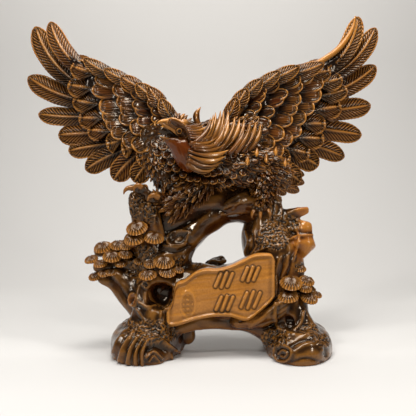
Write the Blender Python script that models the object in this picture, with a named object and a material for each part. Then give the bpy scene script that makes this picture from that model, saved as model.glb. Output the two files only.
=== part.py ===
"""An eagle with raised wings, landing on an arched pine trunk over two boulders: one casting in resin.

The form is laid out on a square front drawing, 416 units wide and high, as an eye sees it from straight
ahead. A place on it is (across, down, depth): across and down are read on the drawing, and depth is how
far the place lies behind the middle of the figure. One unit is a fixed share of the figure's height.
"""

import math

import bmesh
import bpy
from mathutils import Matrix, Vector

# Driving sizes, in metres.
HEIGHT = 0.600
BOULDER_DEPTH = 0.196
PLAQUE_THICKNESS = 0.026
STROKE_RELIEF = 0.0022
WING_THICKNESS = 0.011

# Faces closer to flat than this are one face, and a skin that holds less than this is a crumb of resin.
FLAT_ANGLE = math.radians(1.5)
CRUMB = 1e-9

# The front drawing, in its own units: its middle, the eye's distance, level and sideways place.
FIGURE_UNITS = 352.0
UNIT = HEIGHT / FIGURE_UNITS
SHEET_MIDDLE = 208.0
EYE_DISTANCE = 590.0
EYE_LEVEL = 138.7
EYE_OFFSET = 6.85
DEPTH_OFFSET = 2.25

TOWARDS_VIEWER = Vector((0.0, -1.0, 0.0))
UP = Vector((0.0, 0.0, 1.0))

# The wings sweep back from the shoulder to the tip.
WING_MIDDLE = 203.0
SHOULDER_DEPTH = 2.0
TIP_DEPTH = 72.0
SHOULDER_REACH = 20.0
TIP_REACH = 172.0
SWEEP_POWER = 1.1

# How a feather's breadth runs from root to tip: (share of the length, share of the full width).
LONG = ((0.0, 0.6), (0.4, 0.95), (0.8, 0.95))
SHORT = ((0.0, 0.8), (0.7, 1.0))

# Each row of feathers: its name, the curve of its tips, the curve of its roots, how many feathers it has,
# their width, how far roots and tips stand behind the wing's middle surface, and the bow of each quill.
LEFT_ROWS = (
    ("primary", ((51, 22), (35, 26), (27, 77), (38, 114), (59, 135), (69, 151), (86, 170), (114, 180), (134, 182)),
     ((90, 72), (77, 84), (80, 98), (88, 116), (101, 133), (114, 144), (122, 151), (137, 155), (152, 160)),
     9, 22, 3, 0, (-9, -9, -4, -2, 0, 1, 2, 2, 1)),
    ("covert", ((70, 67), (69, 86), (76, 107), (84, 125), (99, 140), (120, 150), (138, 160)),
     ((98, 76), (97, 92), (103, 110), (108, 125), (121, 138), (134, 145), (152, 152)), 7, 21, 3, -3, (0,)),
    ("second", ((92, 91), (99, 108), (101, 119), (108, 130), (121, 141), (133, 148), (150, 154)),
     ((124, 88), (122, 108), (123, 119), (128, 128), (138, 134), (148, 140), (160, 146)), 6, 20, 3, -5, (0,)),
    ("third", ((121, 92), (121, 104), (120, 115), (126, 126), (141, 137), (153, 147)),
     ((142, 95), (140, 105), (139, 114), (145, 123), (156, 133), (165, 142)), 5, 18, 2, -7, (0,)),
    ("shoulder", ((139, 97), (132, 106), (136, 117), (147, 128)),
     ((158, 101), (152, 110), (154, 119), (162, 127)), 3, 17, 1, -9, (0,)),
    ("edge", ((88, 57), (109, 70), (131, 79), (148, 86), (162, 96)),
     ((114, 76), (133, 84), (151, 92), (165, 101), (174, 112)), 5, 14, -1, -7, (0,)),
)
RIGHT_ROWS = (
    ("primary", ((355, 15), (375, 27), (376, 64), (371, 107), (362, 134), (345, 155), (319, 165), (302, 182)),
     ((320, 66), (334, 77), (340, 94), (330, 118), (325, 134), (312, 147), (298, 154), (280, 170)),
     8, 22, 3, 0, (11, 9, 4, 1, 0, -1, -2, -2)),
    ("covert", ((331, 69), (342, 76), (346, 88), (341, 106), (324, 124), (322, 137), (310, 152), (288, 160)),
     ((302, 78), (314, 85), (314, 95), (311, 110), (300, 125), (296, 137), (288, 149), (270, 155)),
     7, 21, 3, -3, (0,)),
    ("second", ((314, 74), (320, 93), (310, 113), (302, 126), (294, 137), (284, 150)),
     ((290, 80), (297, 95), (289, 112), (281, 124), (273, 134), (265, 144)), 6, 20, 3, -5, (0,)),
    ("third", ((301, 87), (300, 100), (295, 116), (286, 131), (276, 142)),
     ((279, 90), (279, 102), (275, 115), (266, 127), (257, 137)), 5, 18, 2, -7, (0,)),
    ("shoulder", ((284, 95), (272, 103), (271, 114), (264, 124)),
     ((264, 97), (253, 106), (252, 116), (246, 124)), 3, 17, 1, -9, (0,)),
    ("edge", ((322, 57), (290, 66), (268, 75), (250, 84), (238, 95)),
     ((288, 73), (262, 81), (246, 91), (235, 102), (226, 115)), 5, 14, -1, -7, (0,)),
)
# The back's feathers: how far behind the middle surface they start and end, and how much broader they are.
BACK_ROOT, BACK_TIP, BACK_BREADTH = 5.0, 9.0, 1.35

# The slab that carries each wing's feathers: its leading line and its trailing line, shoulder last.
LEFT_PLATE = (((68, 56), (90, 66), (110, 76), (130, 84), (148, 92), (163, 103), (175, 118)),
              ((62, 78), (74, 100), (86, 120), (102, 138), (122, 152), (144, 162), (172, 168)))
RIGHT_PLATE = (((340, 56), (318, 67), (292, 73), (270, 80), (251, 89), (238, 102), (228, 118)),
               ((348, 80), (342, 100), (332, 120), (318, 138), (302, 152), (280, 164), (246, 168)))
ARM_RADII = (4, 5, 6, 7, 8.5, 10, 12)

# The eagle's limbs: places (across, down, depth, radius) from root to end.
TORSO = ((196, 160, -20, 21), (216, 164, -14, 26), (242, 166, -4, 25), (264, 170, 8, 18), (284, 177, 26, 8))
SHOULDERS = ((148, 134, 8, 9), (172, 141, 2, 18), (206, 147, -4, 25), (238, 140, 0, 20), (260, 130, 6, 10))
NECK = ((216, 160, -14, 23), (200, 154, -28, 21), (187, 145, -40, 16), (179, 134, -48, 11.5), (175, 127, -52, 9))
HEAD = ((188, 131, -44, 9), (177, 127, -51, 10), (167, 123.5, -55, 6))
UPPER_BEAK = ((170, 122, -54, 5.5), (163, 120.5, -58, 4), (157.5, 122.5, -61, 2.6), (156.5, 127, -62, 1.4))
LOWER_BEAK = ((177, 133, -51, 5), (169, 137, -56, 3.4), (161, 137.5, -60, 1.8))
LEFT_THIGH = ((205, 170, -22, 17), (192, 188, -26, 15), (178, 203, -28, 10), (170, 210, -28, 6))
LEFT_SHANK = ((174, 204, -28, 7), (160, 200, -31, 6), (148, 196, -34, 5))
RIGHT_THIGH = ((252, 168, -4, 15), (262, 182, -10, 14), (262, 196, -14, 9), (260, 208, -15, 5))
TOES = (
    ((148, 196, -35, 5), (139, 190, -37, 3.6), (130, 188.5, -38, 3), (124, 193.5, -38, 1)),
    ((149, 197, -36, 5), (142, 192, -40, 3.4), (137, 190, -42, 2.8), (133.5, 196, -43, 1)),
    ((150, 198, -36, 5), (154, 200, -40, 3.4), (151, 198, -43, 2.8), (147.6, 204, -44, 1)),
    ((149, 195, -33, 4.5), (147, 189, -33, 3), (145, 184, -32, 1)),
    ((260, 204, -15, 5), (254, 209, -19, 3.2), (252, 217, -21, 1.2)),
    ((261, 204, -15, 5), (261, 210, -20, 3.2), (260, 219, -22, 1.2)),
    ((262, 204, -14, 5), (267, 208, -18, 3.2), (269, 216, -20, 1.2)),
)
# Feathers that stand by themselves: (root, tip, width).
TAIL = (((264, 166, 10), (304, 183, 44), 14), ((268, 174, 10), (299, 191, 40), 14),
        ((264, 162, 12), (303, 174, 44), 13), ((264, 174, 2), (282, 194, 20), 13))
HACKLES = (((184, 130, -46), (187, 115, -38), 7), ((180, 128, -50), (180.5, 114.5, -44), 6),
           ((192, 138, -38), (201, 108, -34), 8), ((200, 142, -32), (216, 112, -22), 10),
           ((208, 146, -26), (228, 110, -14), 11), ((212, 150, -24), (238, 124, -12), 11),
           ((190, 152, -48), (228, 151, -34), 10), ((190, 158, -48), (216, 165, -44), 9),
           ((194, 145, -42), (232, 138, -26), 11), ((190, 160, -46), (206, 177, -46), 9),
           ((182, 156, -50), (190, 178, -48), 9))
# Feathers tiled over a limb: its name, the limb, rows as shares of its length, angles in each row from the
# side that faces the viewer, width, length, and which way they lie along the limb.
TILED = (
    ("flank", TORSO, (0.24, 0.50, 0.76), (-62, -18, 26, 70), 17, 23, 1),
    ("scapular", SHOULDERS, (0.56, 0.74), (-15, 30), 15, 19, 1),
    ("nape", NECK, (0.90, 0.55, 0.25), (-40, 70, 110), 12, 18, -1),
    ("thigh", LEFT_THIGH, (0.25, 0.55), (-60, -10, 40), 13, 18, 1),
    ("trouser", RIGHT_THIGH, (0.2, 0.55), (-50, 0, 50), 12, 17, 1),
)

# The pine: its stems, its branches, knobs, cut branches, roots and folds.
STEMS = {
    "right_stem": ((289, 336, -30, 19), (288, 310, -24, 19), (284, 286, -15, 21), (274, 258, -6, 28),
                   (266, 234, 0, 25), (262, 212, 0, 17)),
    "left_stem": ((146, 337, -34, 22), (150, 322, -34, 20), (154, 306, -30, 21), (158, 288, -22, 24)),
    "tree_mass": ((152, 286, -20, 23), (185, 290, -20, 26), (220, 293, -18, 28), (255, 289, -15, 28),
                  (282, 284, -12, 22)),
    "upper_branch": ((276, 226, 0, 19), (256, 211, 0, 18), (230, 207, -3, 16), (204, 221, -10, 15),
                     (184, 239, -17, 16), (170, 256, -20, 20), (154, 270, -22, 18)),
    "inner_branch": ((132, 242, -20, 10), (150, 230, -14, 14), (176, 216, -10, 18), (206, 202, -6, 18),
                     (236, 200, -2, 18), (262, 206, 2, 15)),
    "left_branch": ((160, 268, -22, 12), (142, 263, -17, 10), (120, 262, -12, 8), (98, 268, -10, 6)),
    "hind_branch": ((150, 262, -14, 11), (138, 246, -8, 9), (120, 248, -6, 7), (98, 252, -4, 5)),
}
STUBS = (
    ((139, 232, -30, 10), (137, 212, -31, 9.5), (136, 197, -33, 7)),
    ((152, 234, -26, 10), (150, 216, -30, 9), (150, 203, -33, 7)),
    ((150, 262, -24, 14), (146, 240, -26, 13), (142, 226, -28, 10)),
    ((282, 258, -8, 16), (297, 249, -12, 14), (311, 245, -14, 10)),
    ((276, 236, -4, 14), (294, 229, -6, 12), (310, 228, -8, 8)),
    ((270, 222, 4, 14), (290, 216, 4, 12), (304, 213, 4, 8)),
    ((286, 300, -22, 11), (302, 297, -26, 9), (312, 292, -28, 6)),
    ((286, 292, -20, 10), (300, 287, -24, 8), (308, 286, -26, 6)),
    ((148, 314, -28, 14), (134, 300, -22, 12), (118, 284, -16, 9), (102, 277, -14, 6)),
    ((236, 322, -38, 8), (262, 318, -42, 9), (276, 310, -40, 9), (288, 298, -32, 9)),
    ((190, 306, -12, 12), (187, 326, -14, 9), (188, 338, -16, 7)),
    ((168, 304, -36, 10), (162, 322, -44, 9), (158, 338, -50, 9)),
    ((296, 308, -30, 9), (306, 324, -36, 8), (314, 338, -40, 8)),
    ((210, 276, 2, 12), (214, 266, 8, 9), (222, 260, 8, 5)),
    ((144, 360, -70, 5), (143, 347, -70, 5), (153, 340, -67, 5), (168, 346, -64, 5), (172, 358, -66, 5)),
    ((122, 356, -52, 6), (124, 340, -48, 6), (134, 330, -44, 6)),
    ((276, 360, -68, 6), (274, 346, -64, 6), (284, 336, -58, 6), (294, 344, -60, 5)),
    ((322, 352, -44, 7), (316, 338, -42, 7), (304, 330, -46, 7)),
)

# Hollows in the wood, each scooped out along a limb: the cave beside the board and the cup over the right root.
SCOOPS = (
    ((156, 297, -70, 13), (157, 296, -54, 13), (158, 294, -42, 7)),
    ((288, 322, -72, 9), (288, 323, -56, 9), (288, 324, -46, 5)),
)

# The boulders under the stems: the left, right and top of each on the drawing.
BOULDERS = (("left_boulder", 109, 184, 319), ("right_boulder", 261, 331, 322))
BOULDER_FRONT = -77.0
BOULDER_PROFILE = ((0.0, 0.97), (0.35, 1.0), (0.72, 0.87), (0.94, 0.56))

# Cushions of needles: across, down, depth, radius, lean to the viewer and roll in degrees.
CUSHIONS = (
    (137, 231, -38, 10, 30, -8), (135, 243, -38, 10, 24, -6), (153, 240, -38, 9.5, 26, 6),
    (103, 250, -8, 9, 24, -10), (118, 248, -12, 8.5, 24, 0), (92, 262, -12, 7.5, 24, -12), (101, 267, -16, 7, 22, -4),
    (112, 260, -18, 9.5, 24, 4), (126, 258, -22, 8, 24, 6), (121, 267, -20, 7, 22, 0), (95, 279, -15, 7, 22, -10),
    (107, 277, -19, 7, 22, 2), (164, 263, -37, 10.5, 26, 4), (151, 266, -36, 8, 24, -4),
    (149, 277, -40, 9, 24, -4), (166, 274, -40, 8.5, 24, 4),
    (291, 285, -36, 11, 24, 0), (288, 298, -38, 10, 22, -4), (306, 284, -30, 8.5, 24, 8),
    (309, 300, -32, 9, 22, 8), (317, 296, -28, 6, 22, 12), (296, 213, 0, 15, 20, 10),
)

# The board that leans on the tree: its outline on the drawing, and how deep its left and right ends lie.
PLAQUE_OUTLINE = ((175, 284), (185, 280), (196, 271.5), (206, 268.5), (230, 266.5), (243, 260), (255, 254),
                  (269, 253.5), (275.5, 259), (273.5, 274), (274, 299), (264, 309), (251, 319.6), (244, 321),
                  (230, 317), (218, 316.7), (206, 318), (193, 321), (177, 326), (168, 325), (166, 314),
                  (173, 302), (176.5, 292))
PLAQUE_LEFT, PLAQUE_RIGHT = 175.0, 274.0
PLAQUE_LEFT_DEPTH, PLAQUE_RIGHT_DEPTH = -56.0, -48.0
# Rows of short slanting strokes: the middle of each group and its half height, and where strokes stand.
STROKE_GROUPS = ((250.5, 274, 8.5), (250.6, 300, 10), (224, 280, 9), (224.5, 303.5, 9))
STROKE_STEPS = (-0.65, 0.0, 0.65)
STROKE_LEAN = 0.3
STROKE_WIDTH = 2.6


def seen(across, down, depth):
    """The place in metres of a point of the front drawing that lies at this depth."""
    spread = 1.0 + depth / EYE_DISTANCE
    return UNIT * Vector((EYE_OFFSET + (across - SHEET_MIDDLE) * spread, depth + DEPTH_OFFSET,
                          EYE_LEVEL + (SHEET_MIDDLE - down) * spread))


def smooth_curve(points, share):
    """A point at a share from 0 to 1 along a Catmull-Rom curve through the points."""
    at = min(max(share, 0.0), 1.0) * (len(points) - 1)
    i = min(int(at), len(points) - 2)
    t = at - i
    p1, p2 = Vector(points[i]), Vector(points[i + 1])
    p0 = Vector(points[i - 1]) if i > 0 else 2 * p1 - p2
    p3 = Vector(points[i + 2]) if i + 2 < len(points) else 2 * p2 - p1
    return 0.5 * (2 * p1 + (p2 - p0) * t + (2 * p0 - 5 * p1 + 4 * p2 - p3) * t**2
                  + (3 * p1 - p0 - 3 * p2 + p3) * t**3)


def closed_form(name, rings, start=None, end=None):
    """An object skinned through rings of points, closed by a point or by a flat face at each end."""
    mesh = bmesh.new()
    loops = [[mesh.verts.new(p) for p in ring] for ring in rings]
    for first, second in zip(loops, loops[1:]):
        for i in range(len(first)):
            j = (i + 1) % len(first)
            mesh.faces.new((first[i], first[j], second[j], second[i]))
    for loop, tip in ((loops[0], start), (loops[-1], end)):
        if tip is None:
            mesh.faces.new(loop)
            continue
        point = mesh.verts.new(tip)
        for i in range(len(loop)):
            mesh.faces.new((loop[i], loop[(i + 1) % len(loop)], point))
    mesh.normal_update()
    bmesh.ops.triangulate(mesh, faces=mesh.faces[:])
    bmesh.ops.recalc_face_normals(mesh, faces=mesh.faces[:])
    data = bpy.data.meshes.new(name)
    mesh.to_mesh(data)
    mesh.free()
    return bpy.data.objects.new(name, data)


def section_axes(along):
    """Two directions square to a limb: in the plane of the drawing, and away from the viewer."""
    away = -TOWARDS_VIEWER if abs(along.y) < 0.85 else UP
    back = (away - away.dot(along) * along).normalized()
    return along.cross(back).normalized(), back


def limb(name, stations, sides=8):
    """A round limb through stations (across, down, depth, radius), with blunt ends."""
    centres = [seen(*s[:3]) for s in stations]
    last = len(centres) - 1
    rings = []
    for i, centre in enumerate(centres):
        along = (centres[min(i + 1, last)] - centres[max(i - 1, 0)]).normalized()
        side, back = section_axes(along)
        rings.append([centre + stations[i][3] * UNIT * (math.cos(a) * side + math.sin(a) * back)
                      for a in (math.tau * k / sides for k in range(sides))])
    start = centres[0] + (centres[0] - centres[1]).normalized() * stations[0][3] * UNIT * 0.45
    end = centres[-1] + (centres[-1] - centres[-2]).normalized() * stations[-1][3] * UNIT * 0.45
    return closed_form(name, rings, start, end)


def feather(name, root, tip, width, bow=0.0, facing=TOWARDS_VIEWER, stations=SHORT, thickness=0.3, twist=0.14,
            belly=0.0):
    """A leaf from root to tip with a raised quill line; bow bends it sideways, twist laps it on the next."""
    along = (tip - root).normalized()
    side = along.cross(facing).normalized()
    front = side.cross(along).normalized()
    edge = (side + front * twist).normalized()
    rings = []
    for share, breadth in stations:
        centre = root.lerp(tip, share) + side * bow * 4 * share * (1 - share)
        half = 0.5 * width * breadth
        ring = [centre - edge * half, centre + front * thickness * half, centre + edge * half]
        rings.append(ring + [centre - front * belly * half] * (belly > 0))
    return closed_form(name, rings, None, tip)


def wing_depth(across):
    """How deep the wing's middle surface lies: it sweeps back towards the tip."""
    share = (abs(across - WING_MIDDLE) - SHOULDER_REACH) / (TIP_REACH - SHOULDER_REACH)
    return SHOULDER_DEPTH + (TIP_DEPTH - SHOULDER_DEPTH) * min(max(share, 0.0), 1.1) ** SWEEP_POWER


def on_wing(place, lift):
    return seen(place[0], place[1], wing_depth(place[0]) + lift)


def wing_rows(side_name, rows):
    """Every feather of the wing's front, row by row."""
    made = []
    for row, tips, roots, count, width, root_lift, tip_lift, bows in rows:
        for i in range(count):
            share = i / (count - 1)
            tip, root = smooth_curve(tips, share), smooth_curve(roots, share)
            free = {"stations": LONG, "belly": 0.25} if row == "primary" else {}
            made.append(feather(f"{side_name}_{row}_{i}", on_wing(root, root_lift), on_wing(tip, tip_lift),
                                width * UNIT, bows[min(i, len(bows) - 1)] * UNIT, **free))
    return made


def wing_back(side_name, rows):
    """Plainer feathers on the wing's back: every other one of the front's middle rows."""
    made = []
    for row, tips, roots, count, width, *_ in rows[1:3]:
        for i in range(0, count, 2):
            tip, root = smooth_curve(tips, i / (count - 1)), smooth_curve(roots, i / (count - 1))
            made.append(feather(f"{side_name}_{row}_back_{i}", on_wing(root, BACK_ROOT), on_wing(tip, BACK_TIP),
                                width * BACK_BREADTH * UNIT, facing=-TOWARDS_VIEWER))
    return made


def wing_plate(name, edges, across_steps=6, down_steps=2):
    """The slab of the wing that carries its feathers, between its leading and its trailing line."""
    lead, trail = edges
    back = Vector((0.0, WING_THICKNESS, 0.0))
    rings = []
    for i in range(across_steps):
        top, low = (smooth_curve(line, i / (across_steps - 1)) for line in (lead, trail))
        front = [on_wing(top.lerp(low, j / down_steps), 1.0) for j in range(down_steps + 1)]
        rings.append(front + [p + back for p in reversed(front)])
    return closed_form(name, rings)


def wing_arm(name, lead):
    """The rounded bone along the wing's leading edge."""
    return limb(name, [(p[0], p[1] + 4, wing_depth(p[0]) + 1, r) for p, r in zip(lead, ARM_RADII)], sides=5)


def cushion(name, across, down, depth, radius, lean, roll, sides=7):
    """A cushion of pine needles: a shallow dome over a sharp rim, leaning to the viewer."""
    centre = seen(across, down, depth)
    turn = Matrix.Rotation(math.radians(roll), 3, "Y") @ Matrix.Rotation(math.radians(lean), 3, "X")
    size = radius * UNIT
    rim = [centre + turn @ (size * Vector((math.cos(a), math.sin(a), 0.0)))
           for a in (math.tau * (k + 0.5) / sides for k in range(sides))]
    return closed_form(name, [rim], centre + turn @ Vector((0, 0, -size * 0.7)),
                       centre + turn @ Vector((0, 0, size * 0.55)))


def boulder(name, left, right, top, sides=12):
    """A rounded rock with a flat underside on the ground."""
    middle = BOULDER_FRONT + 0.5 * BOULDER_DEPTH / UNIT
    corner_a, corner_b = seen(left, top, middle), seen(right, top, middle)
    centre = 0.5 * (corner_a + corner_b)
    half_across = 0.5 * (corner_b.x - corner_a.x)
    rings = []
    for share, breadth in BOULDER_PROFILE:
        ring = []
        for k in range(sides):
            a = math.tau * k / sides
            reach = breadth * (1 + 0.05 * math.sin(3 * a + 1.0))
            ring.append(Vector((centre.x + half_across * reach * math.cos(a),
                                centre.y + 0.5 * BOULDER_DEPTH * reach * math.sin(a), centre.z * share)))
        rings.append(ring)
    return closed_form(name, rings, None, centre)


def on_limb(stations, share, angle, lift):
    """A place on a limb's skin, as a share of its length and an angle from the viewer's side, and its axis."""
    here = smooth_curve(stations, share)
    ahead, behind = smooth_curve(stations, min(share + 0.02, 1.0)), smooth_curve(stations, max(share - 0.02, 0.0))
    along = (seen(*ahead[:3]) - seen(*behind[:3])).normalized()
    side, back = section_axes(along)
    if side.z < 0:
        side = -side
    out = side * math.sin(math.radians(angle)) - back * math.cos(math.radians(angle))
    return seen(*here[:3]) + out * here[3] * UNIT * lift, along, out


def tiles(name, stations, shares, angles, width, length, way):
    """Short feathers that lap over a limb like roof tiles, each row set half a step off the last."""
    made = []
    half_step = 0.25 * (angles[1] - angles[0])
    for i, share in enumerate(shares):
        for k, angle in enumerate(angles):
            root, along, out = on_limb(stations, share, angle + half_step * (i % 2), 0.82)
            tip = root + (along * way + out * 0.3) * length * UNIT
            made.append(feather(f"{name}_{i}_{k}", root, tip, width * UNIT, facing=out))
    return made


def eagle():
    """The bird: body, neck, open beak, wings, legs, talons and all its feathers."""
    made = [limb("torso", TORSO), limb("shoulders", SHOULDERS), limb("neck", NECK), limb("head", HEAD),
            limb("upper_beak", UPPER_BEAK, sides=6), limb("lower_beak", LOWER_BEAK, sides=6),
            limb("left_thigh", LEFT_THIGH), limb("left_shank", LEFT_SHANK, sides=6),
            limb("right_thigh", RIGHT_THIGH)]
    made += [limb(f"toe_{i}", toe, sides=4) for i, toe in enumerate(TOES)]
    for side_name, plate, rows in (("left", LEFT_PLATE, LEFT_ROWS), ("right", RIGHT_PLATE, RIGHT_ROWS)):
        made += [wing_plate(f"{side_name}_wing", plate), wing_arm(f"{side_name}_arm", plate[0])]
        made += wing_rows(side_name, rows) + wing_back(side_name, rows)
    for kind, group in (("tail", TAIL), ("hackle", HACKLES)):
        made += [feather(f"{kind}_{i}", seen(*root), seen(*tip), width * UNIT)
                 for i, (root, tip, width) in enumerate(group)]
    for tile in TILED:
        made += tiles(*tile)
    return made


def pine():
    """The tree: stems, branches, stubs, roots and cushions of needles."""
    made = [limb(name, stations, sides=8) for name, stations in STEMS.items()]
    made += [limb(f"stub_{i}", stations, sides=5) for i, stations in enumerate(STUBS)]
    return made + [cushion(f"cushion_{i}", *place) for i, place in enumerate(CUSHIONS)]


def plaque_point(across, down):
    """A point on the front of the board, which stands a little askew."""
    share = (across - PLAQUE_LEFT) / (PLAQUE_RIGHT - PLAQUE_LEFT)
    return seen(across, down, PLAQUE_LEFT_DEPTH + (PLAQUE_RIGHT_DEPTH - PLAQUE_LEFT_DEPTH) * share)


def plaque():
    """The bare board with a wavy outline, and the rows of plain raised strokes on it."""
    front = [plaque_point(a, d) for a, d in PLAQUE_OUTLINE]
    made = [closed_form("plaque", [front, [p - TOWARDS_VIEWER * PLAQUE_THICKNESS for p in front]])]
    for g, (across, down, half) in enumerate(STROKE_GROUPS):
        for s, step in enumerate(STROKE_STEPS):
            top, low = (plaque_point(across + (step + lean) * half, down - up * half * (1 - 0.2 * abs(step)))
                        for up, lean in ((0.8, STROKE_LEAN), (-0.8, -STROKE_LEAN)))
            made.append(stroke(f"stroke_{g}_{s}", top, low))
    return made


def stroke(name, start, end):
    """One raised bar on the board's face, sunk into it as deep as it stands out."""
    across = (end - start).normalized().cross(TOWARDS_VIEWER).normalized() * STROKE_WIDTH * 0.5 * UNIT
    out = TOWARDS_VIEWER * STROKE_RELIEF
    return closed_form(name, [[p - across - out, p - across * 0.6 + out, p + across * 0.6 + out, p + across - out]
                              for p in (start, end)])


def remove_everything():
    for old in list(bpy.data.objects):
        bpy.data.objects.remove(old, do_unlink=True)


def resin():
    """Brown casting resin under clear lacquer."""
    material = bpy.data.materials.new("brown_resin")
    material.use_nodes = True
    surface = material.node_tree.nodes["Principled BSDF"]
    surface.inputs["Base Color"].default_value = (0.15, 0.055, 0.018, 1.0)
    surface.inputs["Roughness"].default_value = 0.3
    surface.inputs["Metallic"].default_value = 0.0
    return material


def shells(mesh):
    """The separate closed skins of a mesh, each as a list of its faces."""
    left, found = set(mesh.faces), []
    while left:
        skin, edge_of_skin = [], [left.pop()]
        while edge_of_skin:
            face = edge_of_skin.pop()
            skin.append(face)
            for near in {f for e in face.edges for f in e.link_faces} & left:
                left.discard(near)
                edge_of_skin.append(near)
        found.append(skin)
    return found


def skin_volume(skin):
    """The volume inside a skin: less than nothing where it is the skin of a pocket."""
    corners = [[loop.vert.co for loop in face.loops] for face in skin]
    return sum(c[0].dot(c[i].cross(c[i + 1])) for c in corners for i in range(1, len(c) - 1)) / 6


def combine(core, others, operation):
    """Adds the other forms to the core, or takes them out of it."""
    group = bpy.data.collections.new(f"{core.name}_{operation.lower()}")
    bpy.context.scene.collection.children.link(group)
    for form in others:
        group.objects.link(form)
    step = core.modifiers.new(operation.lower(), "BOOLEAN")
    step.operation = operation
    step.operand_type = "COLLECTION"
    step.collection = group
    step.solver = "EXACT"


def cast_as_one(name, forms, scoops, material):
    """Joins the forms into one closed solid, hollows it, and fills the pockets that the joining seals in it."""
    core, *others = forms
    bpy.context.scene.collection.objects.link(core)
    combine(core, others, "UNION")
    combine(core, scoops, "DIFFERENCE")
    bpy.context.view_layer.update()
    mesh = bmesh.new()
    mesh.from_object(core, bpy.context.evaluated_depsgraph_get())
    for skin in shells(mesh):
        if skin_volume(skin) < CRUMB:
            bmesh.ops.delete(mesh, geom=skin, context="FACES")
    bmesh.ops.dissolve_limit(mesh, angle_limit=FLAT_ANGLE, verts=mesh.verts[:], edges=mesh.edges[:])
    bmesh.ops.triangulate(mesh, faces=mesh.faces[:])
    for form in forms + scoops:
        bpy.data.objects.remove(form, do_unlink=True)
    solid = bpy.data.objects.new(name, bpy.data.meshes.new(name))
    mesh.to_mesh(solid.data)
    mesh.free()
    solid.data.materials.append(material)
    bpy.context.scene.collection.objects.link(solid)
    return solid


def build():
    remove_everything()
    forms = pine() + [boulder(*rock) for rock in BOULDERS] + plaque() + eagle()
    scoops = [limb(f"scoop_{i}", stations, sides=7) for i, stations in enumerate(SCOOPS)]
    cast_as_one("eagle_on_pine", forms, scoops, resin())


build()
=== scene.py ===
"""Looks of the eagle on its pine: carved feathers, bark, needle cushions and a board, in lacquered resin."""

import math
import random

import bmesh
import bpy
import numpy as np
from mathutils import Matrix, Vector, noise


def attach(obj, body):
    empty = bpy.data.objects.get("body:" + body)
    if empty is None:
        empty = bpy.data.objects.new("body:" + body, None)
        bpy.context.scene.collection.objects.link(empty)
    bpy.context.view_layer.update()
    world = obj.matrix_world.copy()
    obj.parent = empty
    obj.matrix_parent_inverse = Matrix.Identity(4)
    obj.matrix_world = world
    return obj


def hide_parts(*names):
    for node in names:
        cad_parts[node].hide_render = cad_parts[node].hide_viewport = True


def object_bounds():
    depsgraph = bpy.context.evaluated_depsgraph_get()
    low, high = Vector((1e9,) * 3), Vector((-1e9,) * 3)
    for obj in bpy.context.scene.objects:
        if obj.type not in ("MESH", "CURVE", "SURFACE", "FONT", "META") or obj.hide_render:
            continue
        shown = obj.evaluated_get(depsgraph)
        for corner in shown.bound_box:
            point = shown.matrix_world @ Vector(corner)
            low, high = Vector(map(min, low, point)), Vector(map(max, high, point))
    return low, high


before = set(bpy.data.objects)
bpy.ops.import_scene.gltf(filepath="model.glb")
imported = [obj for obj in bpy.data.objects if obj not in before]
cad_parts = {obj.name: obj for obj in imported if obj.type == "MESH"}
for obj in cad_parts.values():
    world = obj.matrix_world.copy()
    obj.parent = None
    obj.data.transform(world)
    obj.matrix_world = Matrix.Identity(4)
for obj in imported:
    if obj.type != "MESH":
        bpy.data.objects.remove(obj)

CAD_BOX = [list(corner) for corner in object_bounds()]

# The front drawing that the model is laid out on, as in the part's source: 416 units wide and high.
HEIGHT = 0.600
UNIT = HEIGHT / 352.0
SHEET_MIDDLE = 208.0
EYE_DISTANCE = 590.0
EYE_LEVEL = 138.7
EYE_OFFSET = 6.85
DEPTH_OFFSET = 2.25
SHEET_SIZE = 416.0
SENSOR = 36.0

# The wings sweep back from the shoulder to the tip.
WING_MIDDLE = 203.0
SHOULDER_DEPTH, TIP_DEPTH = 2.0, 72.0
SHOULDER_REACH, TIP_REACH = 20.0, 172.0
SWEEP_POWER = 1.1
WING_THICKNESS = 0.011

FRONT = np.array((0.0, -1.0, 0.0))
UP = np.array((0.0, 0.0, 1.0))

# Each row of feathers: its kind, the curve of its tips, the curve of its roots, how many it has, their width,
# how far roots and tips stand behind the wing's middle surface, and the bow of each quill.
LEFT_ROWS = (
    ("primary",
     ((51, 22), (36, 27), (29, 77), (39, 114), (59, 135), (69, 151), (86, 170), (114, 180), (134, 182)),
     ((94, 76), (88, 90), (92, 102), (98, 116), (107, 132), (118, 143), (127, 149), (142, 151), (156, 154)),
     9, 23, 3, 0, (-9, -9, -5, -2, 0, 1, 2, 2, 1)),
    ("outer", ((70, 67), (69, 86), (76, 107), (84, 125), (99, 140), (120, 150), (138, 160)),
     ((98, 76), (97, 92), (103, 110), (108, 125), (121, 138), (134, 145), (152, 152)), 8, 25, 3, -3, (0,)),
    ("covert", ((92, 91), (99, 108), (101, 119), (108, 130), (121, 141), (133, 148), (150, 154)),
     ((124, 88), (122, 108), (123, 119), (128, 128), (138, 134), (148, 140), (160, 146)), 8, 20, 3, -5, (0,)),
    ("covert", ((97, 80), (112, 92), (119, 104), (119, 115), (125, 126), (139, 136), (152, 146)),
     ((128, 84), (136, 95), (139, 105), (138, 114), (144, 123), (155, 132), (166, 142)), 8, 18, 2, -7, (0,)),
    ("smooth", ((120, 84), (131, 95), (132, 105), (135, 116), (146, 128), (156, 140)),
     ((144, 92), (152, 101), (152, 109), (154, 118), (162, 128), (170, 140)), 7, 15, 1, -9, (0,)),
    ("smooth", ((141, 92), (148, 103), (149, 112), (153, 122), (160, 133)),
     ((161, 99), (166, 108), (167, 116), (168, 124), (173, 134)), 6, 13, 0, -10.5, (0,)),
    ("edge", ((84, 60), (107, 71), (131, 80), (147, 87), (161, 97)),
     ((116, 76), (136, 86), (152, 95), (166, 107), (176, 122)), 6, 16, -4, -11, (-1.5,)),
)
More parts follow.
